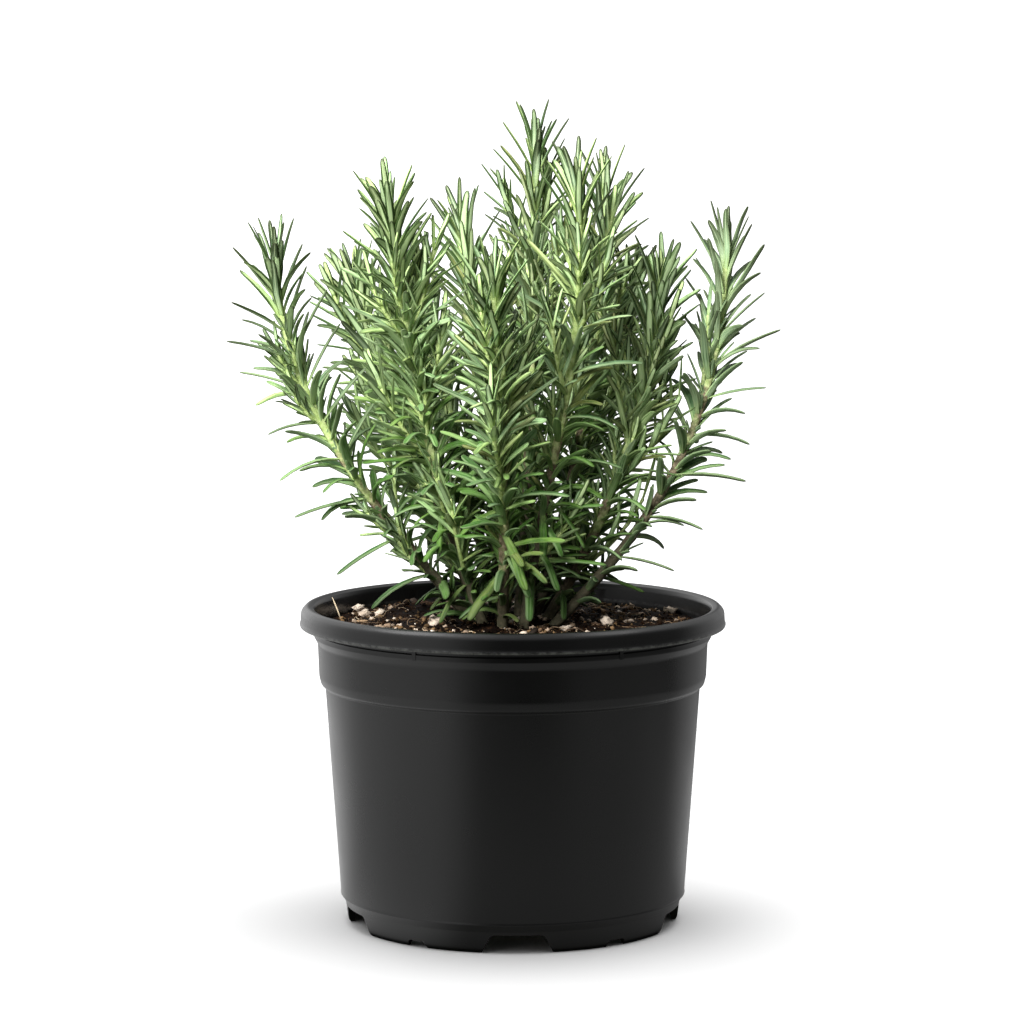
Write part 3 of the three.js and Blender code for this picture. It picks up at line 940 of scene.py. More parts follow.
def lip_rib(shape, azimuth):
    """A small upright rib from the collar up into the hollow of the lip."""
    side = RIB_WIDTH / 2
    top = LIP_HOLLOW_TOP + SHARP_ROUND
    outline = [(-side, RIB_BOTTOM), (side, RIB_BOTTOM), (side, top), (-side, top)]
    radii = (COLLAR_RADIUS - WALL_THICKNESS / 2, COLLAR_RADIUS + RIB_DEPTH)
    outwards_prism(shape, outline, azimuth, radii)


def drain_cutter(shape, azimuth):
    """A round-ended hole through the floor, lying across the radius."""
    end_radius = DRAIN_WIDTH / 2
    centre = (DRAIN_LENGTH - DRAIN_WIDTH) / 2
    cos = math.cos(azimuth)
    sin = math.sin(azimuth)
    outline = []
    for end in (1, -1):
        for step in range(DRAIN_STEPS + 1):
            turn = math.pi * (step / DRAIN_STEPS - end / 2)
            across = end * centre + end_radius * math.cos(turn)
            out = DRAIN_RADIUS + end_radius * math.sin(turn)
            outline.append((across * cos + out * sin, across * sin - out * cos))
    heights = (FLOOR_UNDERSIDE - CUT_MARGIN, FLOOR_TOP + CUT_MARGIN)
    prism(shape, [(*point, height) for height in heights for point in outline])


def outwards_normals(made):
    """Turns every face of a closed piece outwards."""
    edit = bmesh.new()
    edit.from_mesh(made.data)
    bmesh.ops.recalc_face_normals(edit, faces=edit.faces)
    edit.to_mesh(made.data)
    edit.free()


def joined(made, tool, operation):
    """Adds a tool's solids to a piece or cuts them out of it."""
    outwards_normals(tool)
    change = made.modifiers.new("change", "BOOLEAN")
    change.operation = operation
    change.solver = "EXACT"
    change.object = tool
    mesh = bpy.data.meshes.new_from_object(made.evaluated_get(bpy.context.evaluated_depsgraph_get()))
    made.modifiers.clear()
    made.data = mesh
    bpy.data.objects.remove(tool)


def build_pot():
    """The pot, turned in one piece, with ribs under its lip, notches in its foot and drain holes."""
    profile = [(0, FLOOR_UNDERSIDE, 0), *outer_profile(), *inner_profile(), (0, FLOOR_TOP, 0)]
    body = Shape()
    turned(body, rounded(profile), POT_SEGMENTS)
    pot = body.piece("fine_pot", [pot_plastic()])
    outwards_normals(pot)
    ribs = Shape()
    for i in range(RIB_COUNT):
        lip_rib(ribs, RIB_AZIMUTH + i / RIB_COUNT * 2 * math.pi)
    joined(pot, ribs.piece("ribs", []), "UNION")
    cuts = Shape()
    for i in range(NOTCH_COUNT):
        azimuth = FRONT_NOTCH_AZIMUTH + i / NOTCH_COUNT * 2 * math.pi
        between = azimuth + math.pi / NOTCH_COUNT
        notch_cutter(cuts, WIDE_NOTCH, azimuth)
        notch_cutter(cuts, SMALL_NOTCH, between)
        drain_cutter(cuts, between)
    joined(pot, cuts.piece("cutter", []), "DIFFERENCE")
    pot.data.shade_smooth()
    pot.data.set_sharp_from_angle(angle=SHARP_ANGLE)
    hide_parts("pot")
    return pot


# The soil


def soil_height(x, y):
    """The height of the soil's surface: a low mound with ripples that fade out at the pot's wall."""
    inwards = 1 - np.minimum(1, np.hypot(x, y) / RIM_INNER_RADIUS) ** 2
    crossed = np.sin(x / SOIL_WAVES["across"]) * np.cos(y / SOIL_WAVES["deep"])
    ripple = crossed + np.sin((x + 2 * y) / SOIL_WAVES["slanted"]) / 2
    return SOIL_EDGE + SOIL_MOUND * inwards + SOIL_RIPPLE * ripple * np.minimum(1, 3 * inwards)


def noise_place(x, y, layer):
    """A place in a layer of noise, which is given by the width of its features and a level of its own."""
    size, level = layer
    return Vector((x / size, y / size, level))


def crumbly(x, y):
    """How far the crumbs and clods stand out of the soil's surface at a place."""
    heap_gap = math.hypot(x - SOIL_HEAP["x"], y - SOIL_HEAP["y"]) / SOIL_HEAP["reach"]
    heap = SOIL_HEAP["height"] * math.exp(-heap_gap * heap_gap)
    clod = noise.noise(noise_place(x, y, CLOD_LAYER))
    near = noise.voronoi(noise_place(x, y, CRUMB_LAYER))[0][0]
    fine = noise.fractal(noise_place(x, y, FINE_LAYER), *FINE_NOISE)
    return heap + CLOD_HEIGHT * clod + CRUMB_HEIGHT * (CRUMB_LEVEL - near) + FINE_HEIGHT * fine


def disc_place(u, v):
    """A place in the unit disc for a place in the square from -1 to 1, with no crowding."""
    if u == 0 and v == 0:
        return 0.0, 0.0
    if abs(u) > abs(v):
        radius = u
        turn = math.pi / 4 * (v / u)
    else:
        radius = v
        turn = math.pi / 2 - math.pi / 4 * (u / v)
    return radius * math.cos(turn), radius * math.sin(turn)


def soil_bulk(shape):
    """The bulk of the soil, which fills the pot with a small gap all round and has a crumbly top."""
    edge_radius = COLLAR_RADIUS - WALL_THICKNESS - SOIL_INSET
    cells = SOIL_CELLS
    width = cells + 1
    corners = []
    for row in range(width):
        for column in range(width):
            x, y = disc_place(2 * column / cells - 1, 2 * row / cells - 1)
            x *= edge_radius
            y *= edge_radius
            fade = min(1, (edge_radius - math.hypot(x, y)) / SOIL_FADE)
            corners.append((x, y, soil_height(x, y) + fade * crumbly(x, y)))
    firsts = [row * width + column for row in range(cells) for column in range(cells)]
    faces = [(a, a + 1, a + 1 + width, a + width) for a in firsts]
    loop = list(range(cells))
    loop += [row * width + cells for row in range(cells)]
    loop += [cells * width + column for column in range(cells, 0, -1)]
    loop += [row * width for row in range(cells, 0, -1)]
    side = [(radius - SOIL_INSET, height) for radius, height, _ in inner_profile()[1:]]
    side[-1] = (side[-1][0], FLOOR_TOP + SEAT_GAP)
    above = loop
    for radius, height in side:
        below = list(range(len(corners), len(corners) + len(loop)))
        for x, y, _ in [corners[i] for i in loop]:
            share = radius / math.hypot(x, y)
            corners.append((x * share, y * share, height))
        for i in range(len(loop)):
            j = (i + 1) % len(loop)
            faces.append((above[i], below[i], below[j], above[j]))
        above = below
    faces.append(tuple(reversed(above)))
    shape.add(corners, faces, EARTH)


def ball(subdivisions):
    """The corners and faces of a ball of radius 1."""
    edit = bmesh.new()
    bmesh.ops.create_icosphere(edit, subdivisions=subdivisions, radius=1)
    corners = np.array([list(vertex.co) for vertex in edit.verts])
    faces = [[vertex.index for vertex in face.verts] for face in edit.faces]
    edit.free()
    return corners, faces


def blocky(corners, roundness):
    """A ball's corners moved towards those of a block, the more so the lower the roundness."""
    return np.sign(corners) * np.abs(corners) ** roundness


def lumpy(corners, draw, depth):
    """A ball's corners pushed in and out by noise of its own."""
    shift = Vector([draw() * LUMP_SHIFT for _ in range(3)])
    pushes = [1 + depth * noise.noise(Vector(corner) * LUMPS_PER_RADIUS + shift) for corner in corners]
    return corners * np.array(pushes)[:, None]


def turned_about(corners, draw, flat=False):
    """Corners turned by chance, or only about the upright axis with a slight tilt."""
    tilt = 2 * (FLAT_TILT if flat else math.pi)
    turn = Matrix.Rotation(draw() * 2 * math.pi, 3, "Z")
    for axis in "XY":
        turn = turn @ Matrix.Rotation(swing(draw, tilt), 3, axis)
    return corners @ np.array(turn).T


def soil_place(draw, margin=2):
    """A place on the soil drawn by chance, clear of the pot's wall."""
    radius = (COLLAR_RADIUS - WALL_THICKNESS - margin) * math.sqrt(draw())
    turn = draw() * 2 * math.pi
    return radius * math.cos(turn), radius * math.sin(turn)


def on_soil(x, y):
    return soil_height(x, y) + crumbly(x, y)


def scatter_crumbs(shape, draw):
    """Loose crumbs of soil."""
    small = ball(1)
    large = ball(2)
    for _ in range(CRUMB_COUNT):
        x, y = soil_place(draw)
        size = lerp(*CRUMB_SIZE, draw() ** CRUMB_RARITY)
        corners, faces = large if size > LARGE_CRUMB else small
        crumb = turned_about(lumpy(corners, draw, LUMPS) * np.multiply(CRUMB_FORM, size), draw)
        place = (x, y, on_soil(x, y) + CRUMB_RISE * size)
        shape.add(crumb + place, faces, EARTH, tint=draw() ** CRUMB_TINT_RARITY)


def scatter_chips(shape, draw):
    """Flat bits of bark that lie on the soil or stick out of it."""
    corners, faces = ball(1)
    for _ in range(CHIP_COUNT):
        x, y = soil_place(draw, CHIP_MARGIN)
        length = lerp(*CHIP_LENGTH, draw() ** CHIP_RARITY)
        width = length * lerp(*CHIP_WIDTH, draw())
        height = length * lerp(*CHIP_HEIGHT, draw())
        chip = lumpy(blocky(corners, CHIP_ROUNDNESS), draw, CHIP_LUMPS) * (length, width, height)
        chip = turned_about(chip, draw, draw() < FLAT_CHIPS)
        shape.add(chip + (x, y, on_soil(x, y) + CHIP_RISE * height), faces, BARK, tint=draw())


def scatter_grains(shape, draw):
    """Pale grains: the large ones that the photograph shows and many small ones."""
    corners, faces = ball(2)
    places = [(x, y, size / 2, lerp(*SEEN_GRAIN_TINT, draw())) for x, y, size in SEEN_GRAINS]
    for _ in range(GRAIN_COUNT):
        places.append((*soil_place(draw), lerp(*GRAIN_SIZE, draw() ** GRAIN_RARITY), draw()))
    for x, y, size, tint in places:
        scale = [size * lerp(*form, draw()) for form in GRAIN_FORMS]
        grain = lumpy(blocky(corners, GRAIN_ROUNDNESS), draw, LUMPS) * scale
        grain = turned_about(grain, draw, True)
        shape.add(grain + (x, y, on_soil(x, y) + GRAIN_RISE * size), faces, GRAIN, tint=tint)


def thread(shape, points, radius, tint):
    """Adds a thin round thread through points, which is thinner at its ends."""
    points = np.array(points, float)
    along = unit(np.gradient(points, axis=0))
    first = unit(np.cross(along, THREAD_SIDE))
    second = np.cross(along, first)
    turns = np.arange(THREAD_SIDES) * 2 * math.pi / THREAD_SIDES
    thickness = radius * np.sin(np.linspace(THREAD_END, math.pi - THREAD_END, len(points)))[:, None, None]
    ring = np.cos(turns)[:, None] * first[:, None] + np.sin(turns)[:, None] * second[:, None]
    corners = (points[:, None] + thickness * ring).reshape(-1, 3)
    faces = tube_faces(len(points), THREAD_SIDES)
    faces.append(tuple(reversed(range(THREAD_SIDES))))
    faces.append(tuple(range(len(corners) - THREAD_SIDES, len(corners))))
    shape.add(corners, faces, FIBRE, tint=tint)


def scatter_fibres(shape, draw):
    """Thin roots and straws that lie about in curves."""
    for _ in range(FIBRE_COUNT):
        x, y = soil_place(draw, FIBRE_MARGIN)
        heading = draw() * 2 * math.pi
        bend = swing(draw, FIBRE_BEND)
        step = lerp(*FIBRE_STEP, draw() ** 2)
        lift = lerp(*FIBRE_LIFT, draw() ** 2)
        points = []
        for i in range(FIBRE_POINTS):
            arch = math.sin(math.pi * i / (FIBRE_POINTS - 1))
            points.append((x, y, on_soil(x, y) + FIBRE_CLEARANCE + lift * arch))
            x += step * math.cos(heading)
            y += step * math.sin(heading)
            heading += bend + swing(draw, FIBRE_KINK)
        thread(shape, points, lerp(*FIBRE_RADIUS, draw()), draw())
    thread(shape, STRAW, STRAW_RADIUS, 1.0)


def build_soil():
    """The soil, with all that lies on it."""
    shape = Shape("tint")
    draw = seeded_draws(SOIL_SEED)
    soil_bulk(shape)
    scatter_crumbs(shape, draw)
    scatter_chips(shape, draw)
    scatter_grains(shape, draw)
    scatter_fibres(shape, draw)
    soil = shape.piece("fine_soil", [soil_earth(), soil_bark(), soil_grain(), soil_fibre()])
    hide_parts("soil")
    return soil


# The stems


def rotated(vector, axis, angle):
    """A vector square to an axis, turned about it."""
    return vector * math.cos(angle) + np.cross(axis, vector) * math.sin(angle)


def sideways(along, around):
    """A direction square to a stem, at an angle round it that is counted from as near as can be to +Y."""
    first = unit(np.array([0.0, 1.0, 0.0]) - along * along[1])
    return rotated(first, along, around)


def leaning(along, outwards, angle):
    return along * math.cos(angle) + outwards * math.sin(angle)


class Route:
    """A stem's way: a cubic curve that is measured by its length."""

    def __init__(self, controls, turn, foot_radius, tip_radius, growth=USUAL_GROWTH):
        self.turn = turn
        self.growth = growth
        self.foot_radius = foot_radius
        self.tip_radius = tip_radius
        self.controls = np.array(controls, float)
        self.times = np.linspace(0, 1, 201)
        steps = np.diff(self.at(self.times), axis=0)
        self.reached = np.concatenate([[0], np.cumsum(np.linalg.norm(steps, axis=1))])
        self.length = self.reached[-1]

    def at(self, time):
        t = np.atleast_1d(time)[:, None]
        weights = np.hstack([(1 - t) ** 3, 3 * t * (1 - t) ** 2, 3 * t * t * (1 - t), t**3])
        return weights @ self.controls

    def time(self, share):
        return np.interp(share * self.length, self.reached, self.times)

    def share(self, back):
        """How far up the stem a place is that lies at a distance back from its tip."""
        return max(0, 1 - back / self.length)

    def point(self, share):
        return self.at(self.time(share))[0]

    def along(self, share):
        time = self.time(share)
        ends = self.at(np.clip([time - 0.0001, time + 0.0001], 0, 1))
        return unit(ends[1] - ends[0])

    def radius(self, share):
        return lerp(self.foot_radius, self.tip_radius, share)


def maturity(back):
    """How old a leaf is, from 0 to 1, by its distance back from the tip."""
    return min(1, back / MATURE_BACK)


def leaf_at(route, back, turn, leans, droop, size, twist=0):
    """A leaf at a distance back from a stem's tip, which leaves the stem at one lean and ends at another."""
    share = route.share(back)
    along = route.along(share)
    outwards = sideways(along, turn)
    start, end = [leaning(along, outwards, lean) for lean in leans]
    end[2] -= droop
    length, half_width = size
    return {
        "root": route.point(share),
        "start": start,
        "end": unit(end),
        "across": rotated(np.cross(along, outwards), start, twist),
        "length": length,
        "half_width": half_width,
        "age": maturity(back),
        "back": back,
        "turn": turn,
    }


def usual_leaf(route, back, habit):
    """A large leaf: one of a stem's pairs, one between them or one that hangs at its foot."""
    age = maturity(back)
    opening = habit["opening"]
    leans = (opening * habit.get("clasp", 1), opening * (1 + habit.get("bend", 0)) + LEAF_CURL)
    length = habit["size"] * FINE_SHARE * lerp(*LEAF_LENGTH, min(1, back / LEAF_LENGTH_BACK))
    half_width = habit["size"] * lerp(*LEAF_HALF_WIDTH, age)
    droop = LEAF_DROOP * habit["droop"] * age * age
    return leaf_at(route, back, habit["turn"], leans, droop, (length, half_width), habit["twist"])


def small_leaf(route, back, turn, opening, size, droop):
    """A small leaf beside a pair, on a side shoot or at a stem's end."""
    return leaf_at(route, back, turn, (opening, opening + SMALL_LEAF_CURL), droop, size)


def leaf_point(leaf, share):
    """A leaf's middle line: it leaves the stem's axis in one direction and bends evenly into another."""
    forwards = leaf["start"] * (share - share * share / 2)
    return leaf["root"] + leaf["length"] * (forwards + leaf["end"] * share * share / 2)


def gaps_squared(start, end, starts, ends):
    """The squared distances between one straight stretch and many."""
    d1 = end - start
    d2 = ends - starts
    r = start - starts
    a = d1 @ d1
    e = np.einsum("ij,ij->i", d2, d2)
    f = np.einsum("ij,ij->i", d2, r)
    c = r @ d1
    b = d2 @ d1
    spread = a * e - b * b
    safe = np.where(spread == 0, 1, spread)
    s = np.where(spread == 0, 0, np.clip((b * f - c * e) / safe, 0, 1))
    t = (b * s + f) / e
    s = np.where(t < 0, np.clip(-c / a, 0, 1), np.where(t > 1, np.clip((b - c) / a, 0, 1), s))
    t = np.clip(t, 0, 1)
    between = r + s[:, None] * d1 - t[:, None] * d2
    return np.einsum("ij,ij->i", between, between)


def is_clear(points, half_width, obstacles, clearance):
    """Whether a row of points stays over the soil and the rim, and clear of the other stems."""
    for x, y, z in points[1:]:
        over_soil = math.hypot(x, y) < RIM_INNER_RADIUS - half_width
        ground = soil_height(x, y) if over_soil else POT_HEIGHT
        if z < ground + clearance:
            return False
    starts, ends, radii = obstacles
    reach = half_width + radii + LEAF_GAP
    for i in range(len(points) - 1):
        if (gaps_squared(points[i], points[i + 1], starts, ends) <= reach * reach).any():
            return False
    return True


def leaf_line(leaf):
    return [leaf_point(leaf, share) for share in (0, 0.4, 0.75, 1)]


def in_box(line, half_width):
    """Whether a row of points stays inside the plain model's box."""
    points = np.array(line)
    return (points > BOX_LOW + half_width).all() and (points < BOX_HIGH - half_width).all()


def has_room(line, half_width, obstacles):
    """Whether an added leaf or shoot stays inside the box and clear of the other stems and the soil."""
    return in_box(line, half_width) and is_clear(line, half_width, obstacles, FILL_CLEARANCE)


def at_open_side(leaf):
    """Whether a leaf ends beside the plant's foot, where the photograph shows the room behind."""
    tip = leaf_point(leaf, 1)
    return abs(tip[0]) > OPEN_SIDES["from"] and tip[2] < OPEN_SIDES["below"]


def pair_fits(leaf, obstacles):
    return is_clear(leaf_line(leaf), leaf["half_width"], obstacles, SOIL_CLEARANCE)


def fill_fits(leaf, obstacles):
    return has_room(leaf_line(leaf), leaf["half_width"], obstacles) and not at_open_side(leaf)


def first_fitting(leaves, obstacles, fits):
    """A list of the first leaf that fits, or an empty list."""
    for leaf in leaves:
        if fits(leaf, obstacles):
            return [leaf]
    return []


def tried_leaves(route, back, habit, tries, shortening, widths):
    """Tries at one leaf, each turned further to one side or the other, raised and shortened."""
    for attempt in range(tries):
        sway = SWAY_STEP if attempt % 2 else -SWAY_STEP
        tried = {
            **habit,
            "turn": habit["turn"] + math.ceil(attempt / 2) * sway,
            "opening": habit["opening"] * (1 - RAISE_STEP * attempt),
            "size": habit["size"] * (1 - shortening * attempt),
        }
        leaf = usual_leaf(route, back, tried)
        leaf["half_width"] *= lerp(*widths, leaf["age"])
        yield leaf


def opening_at(back):
    """How far leaves open at a distance back from the stem's tip."""
    return math.radians(lerp(OPEN_ANGLE["old"], OPEN_ANGLE["young"], math.exp(-back / OPEN_ANGLE["reach"])))


def grow_leaves(route, obstacles, draw):
    """A stem's pairs from its tip down; a leaf that would meet another stem is turned or shortened."""
    leaves = []
    back = FIRST_PAIR_BACK
    pair = 0
    while back < route.length - STEM_BARE_LENGTH:
        for side in (0, 1):
            habit = {
                "turn": route.turn + (pair / 2 + side) * math.pi + swing(draw, TURN_SPREAD),
                "opening": opening_at(back) + swing(draw, OPEN_SPREAD),
                "size": lerp(*SIZE_SPREAD, draw()),
                "twist": swing(draw, TWIST_SPREAD),
                "droop": lerp(*DROOP_SPREAD, draw() ** 2),
            }
            tried = tried_leaves(route, back, habit, LEAF_TRIES, SHORTEN_STEP, (1, 1))
            leaves += first_fitting(tried, obstacles, pair_fits)
        back += lerp(*PAIR_SPACING, maturity(back))
        pair += 1
    return leaves


def stem_obstacles(route):
    """The stretches of a stem as obstacles to the leaves of the others: start, end and radius."""
    steps = math.floor(route.length / STEM_STEP + 0.5)
    foot = route.point(0)
    points = [foot - (0, 0, STEM_ROOT_DEPTH)] + [route.point(i / steps) for i in range(steps + 1)]
    radii = [STEM_FOOT_RADIUS] + [route.radius(i / steps) for i in range(steps)]
    return [(points[i], points[i + 1], radii[i]) for i in range(steps + 1)]


def line_obstacles(points, half_width):
    return [(points[i], points[i + 1], half_width) for i in range(len(points) - 1)]


def grow_fill(route, obstacles, draw):
    """The leaves between a stem's pairs, from its tip down to just over the soil."""
    leaves = []
    back = FILL_FIRST_BACK
    turn = route.turn + FILL_FIRST_TURN
    while back < route.length - FILL_LAST_HEIGHT:
        widened = lerp(route.growth["spread"], 1, maturity(back))
        habit = {
            "opening": opening_at(back) * lerp(*FILL_OPENING, draw()) * widened,
            "size": lerp(*FILL_SIZE, draw()),
            "twist": swing(draw, 2 * TWIST_SPREAD),
            "droop": lerp(*FILL_DROOP, draw() ** 2),
            "turn": turn + swing(draw, TURN_SPREAD),
            "clasp": FILL_CLASP,
            "bend": FILL_BEND,
        }
        front = sideways(route.along(route.share(back)), turn)[1] < FILL_FRONT["limit"]
        if not (front and draw() > FILL_FRONT["kept"]):
            tried = tried_leaves(route, back, habit, FILL_TRIES, 2 * SHORTEN_STEP, FILL_WIDTH)
            leaves += first_fitting(tried, obstacles, fill_fits)
        turn += FILL_TURN
        young, old = FILL_SPACING
        back += lerp(young / route.growth["head"], old / route.growth["body"], maturity(back))
    return leaves


def grow_skirt(route, obstacles, draw):
    """The wide leaves that hang from a stem's lowest part, most of them on the plant's outer side."""
    leaves = []
    height = SKIRT_FIRST_HEIGHT
    while height < SKIRT_LAST_HEIGHT:
        back = route.length - height
        share = route.share(back)
        along = route.along(share)
        outwards = sideways(along, 0)
        away = route.point(share) * (1, 1, 0) - (0, SKIRT_MIDDLE, 0)
        turn = math.atan2(away @ np.cross(along, outwards), away @ outwards)
        habit = {
            "turn": turn + swing(draw, 2 * SKIRT_SPREAD),
            "opening": math.radians(lerp(*SKIRT_OPENING, draw())),
            "size": lerp(*SKIRT_SIZE, draw()),
            "twist": swing(draw, TWIST_SPREAD),
            "droop": lerp(*SKIRT_DROOP, draw()),
        }
        tried = tried_leaves(route, back, habit, 1, SHORTEN_STEP, (SKIRT_WIDTH, SKIRT_WIDTH))
        leaves += first_fitting(tried, obstacles, fill_fits)
        height += SKIRT_SPACING * lerp(*SKIRT_STEP, draw())
    return leaves


def shoot_route(route, leaf, draw):
    """The way of a side shoot out of a leaf's axil, which turns upwards."""
    length = lerp(*SHOOT_LENGTH, draw() ** SHOOT_RARITY)
    along = route.along(route.share(leaf["back"]))
    opening = math.radians(lerp(*SHOOT_OPENING, draw()))
    start = leaning(along, sideways(along, leaf["turn"] + draw() - 0.5), opening)
    end = unit(start * (1 - SHOOT_RISE) + np.array([0, 0, SHOOT_RISE]))
    root = leaf["root"]
    tip = root + length * unit(start + end)
    controls = [root, root + start * length / 3, tip - end * length / 3, tip]
    return Route(controls, draw() * math.pi, *SHOOT_RADII)


def shoot_leaves(shoot, age, obstacles, draw):
    """The pairs of small leaves on a side shoot."""
    leaves = []
    back = SHOOT_FIRST_PAIR_BACK
    pair = 0
    vigour = shoot.length / SHOOT_LENGTH[1]
    while back < shoot.length - SHOOT_BARE_LENGTH:
        share = back / SHOOT_LENGTH[1]
        opening = math.radians(lerp(*SHOOT_LEAF_OPENING, share**SHOOT_LEAF_POWER))
        for side in (0, 1):
            turn = shoot.turn + (pair / 2 + side) * math.pi + swing(draw, TURN_SPREAD)
            lean = opening + swing(draw, OPEN_SPREAD)
            length = lerp(*SHOOT_LEAF_LENGTH, vigour) * lerp(*SHOOT_LEAF_SIZE, draw())
            size = (length, lerp(*SHOOT_LEAF_HALF_WIDTH, vigour))
            leaf = small_leaf(shoot, back, turn, lean, size, SHOOT_LEAF_DROOP * draw() * share)
            leaf["age"] = age * lerp(*SHOOT_LEAF_AGE, share)
            if has_room(leaf_line(leaf), leaf["half_width"], obstacles):
                leaves.append(leaf)
        back += SHOOT_PAIR_SPACING * lerp(*SHOOT_PAIR_STEP, draw())
        pair += 1
    return leaves


def grow_shoots(route, pairs, obstacles, draw):
    """The side shoots of a stem, each with its leaves."""
    shoots = []
    for leaf in pairs:
        wanted = draw() < SHOOT_SHARE * route.growth["body"]
        if wanted and SHOOT_FIRST_BACK < leaf["back"] < route.length - SHOOT_LAST_HEIGHT:
            shoot = shoot_route(route, leaf, draw)
            line = [shoot.point(share) for share in (0, 0.5, 1)]
            if has_room(line, shoot.foot_radius, obstacles):
                shoots.append((shoot, shoot_leaves(shoot, leaf["age"], obstacles, draw)))
    return shoots


def as_arrays(obstacles, own):
    """The obstacles of all stems but one, as arrays of starts, ends and radii."""
    others = [line for name, lines in obstacles.items() if name != own for line in lines]
    starts, ends, radii = zip(*others)
    return np.array(starts), np.array(ends), np.array(radii)


def planned_route(name, foot, pulls, tip, turn):
    controls = [(*foot, STEM_FOOT_HEIGHT), *pulls, tip]
    growth = {**USUAL_GROWTH, **GROWTH.get(name, {})}
    return Route(controls, math.radians(turn), STEM_FOOT_RADIUS, STEM_TIP_RADIUS, growth)


def grow_all():
    """Every stem with its leaves and side shoots; a new one keeps clear of what other stems have so far."""
    plants = {name: {"route": planned_route(name, *way), "seed": seed} for name, *way, seed in STEMS}
    obstacles = {name: stem_obstacles(plant["route"]) for name, plant in plants.items()}
    for kind, grow in (("pairs", grow_leaves), ("skirt", grow_skirt), ("fill", grow_fill)):
        for name, plant in plants.items():
            draw = seeded_draws(plant["seed"] + LATER_SEEDS[kind])
            plant[kind] = grow(plant["route"], as_arrays(obstacles, name), draw)
            for leaf in plant[kind]:
                obstacles[name].extend(line_obstacles(leaf_line(leaf), leaf["half_width"]))
    for name, plant in plants.items():
        draw = seeded_draws(plant["seed"] + LATER_SEEDS["shoots"])
        plant["shoots"] = grow_shoots(plant["route"], plant["pairs"], as_arrays(obstacles, name), draw)
        for shoot, leaves in plant["shoots"]:
            obstacles[name].extend(line_obstacles([shoot.point(0), shoot.point(1)], shoot.foot_radius))
            for leaf in leaves:
                ends = [leaf_point(leaf, 0), leaf_point(leaf, 1)]
                obstacles[name].extend(line_obstacles(ends, leaf["half_width"]))
    return plants


def tuft(route, leaf, draw):
    """The small leaves in the axil of a leaf."""
    leaves = []
    for _ in range(TUFT_LEAVES if leaf["back"] > TUFT_FIRST_BACK else 0):
        growth = draw()
        back = leaf["back"] - TUFT_REACH * draw()
        turn = leaf["turn"] + swing(draw, TUFT_SPREAD)
        opening = math.radians(lerp(*TUFT_OPENING, draw()))
        size = (lerp(*TUFT_LENGTH, growth * growth), lerp(*TUFT_HALF_WIDTH, growth))
        leaves.append(small_leaf(route, back, turn, opening, size, TUFT_DROOP * draw()))
    return leaves


def bud(route, draw):
    """The youngest leaves, closed round a stem's end."""
    leaves = []
    for i in range(BUD_LEAVES):
        opening = math.radians(lerp(*BUD_OPENING, draw())) * route.growth["spread"]
        size = (route.growth["bud"] * lerp(*BUD_LENGTH, draw()), lerp(*BUD_HALF_WIDTH, draw()))
        back = BUD_FIRST_BACK + BUD_SPACING * i
        leaves.append(small_leaf(route, back, route.turn + i * BUD_TURN, opening, size, 0))
    return leaves


def mirrored(section):
    """A whole section from its right half, which starts and ends on the middle line."""
    left = [(-across, height, side) for across, height, side in section[-2:0:-1]]
    return np.array([*section, *left])


def add_leaf(shape, leaf, form, tints, draw):
    """A narrow leaf with rolled edges, a groove along its top, a rib below and a blunt tip."""
    section, stations = form
    share = np.array(stations)[:, None]
    middle = leaf_point(leaf, share)
    along = unit(leaf["start"] * (1 - share) + leaf["end"] * share)
    across = unit(leaf["across"] - along * (along @ leaf["across"])[:, None])
    top = np.cross(along, across)
    roll = swing(draw, LEAF_ROLL) * share * share
    turned_across = across * np.cos(roll) + top * np.sin(roll)
    turned_top = np.cross(along, turned_across)
    sway = swing(draw, 2 * LEAF_SWAY) * leaf["length"]
    wave = np.sin(share * math.pi * lerp(*LEAF_WAVES, draw())) * np.sin(share * math.pi)
    middle = middle + turned_across * sway * wave
    base = LEAF_BASE_WIDTH + (1 - LEAF_BASE_WIDTH) * smooth_step(0, LEAF_NARROW_PART, share)
    past = np.clip((share - 1 + LEAF_TIP_SHARE) / LEAF_TIP_SHARE, 0, 1)
    taper = 1 - lerp(*LEAF_TAPER, leaf["age"]) * smooth_step(LEAF_TAPER_FROM, 1, share)
    width = leaf["half_width"] * base * np.sqrt(1 - past**2) * taper
    rows = mirrored(section)
    thick = width * lerp(*LEAF_THICKNESS, draw())
    corners = (
        middle[:, None]
        + turned_across[:, None] * (width * rows[:, 0])[..., None]
        + turned_top[:, None] * (thick * rows[:, 1])[..., None]
    )
    sides = len(rows)
    faces = [tuple(reversed(face)) for face in tube_faces(len(stations), sides)]
    last = (len(stations) - 1) * sides
    faces.append(tuple(range(sides)))
    for side in range(sides):
        faces.append((last + (side + 1) % sides, last + side, last + sides))
    shape.add(
        np.vstack([corners.reshape(-1, 3), leaf_point(leaf, LEAF_END)]),
        faces,
        LEAF,
        along=np.append(np.repeat(stations, sides), 1.0),
        side=np.append(np.tile(rows[:, 2], len(stations)), 0.0),
        age=leaf["age"],
        tint=lerp(*tints, draw()),
    )


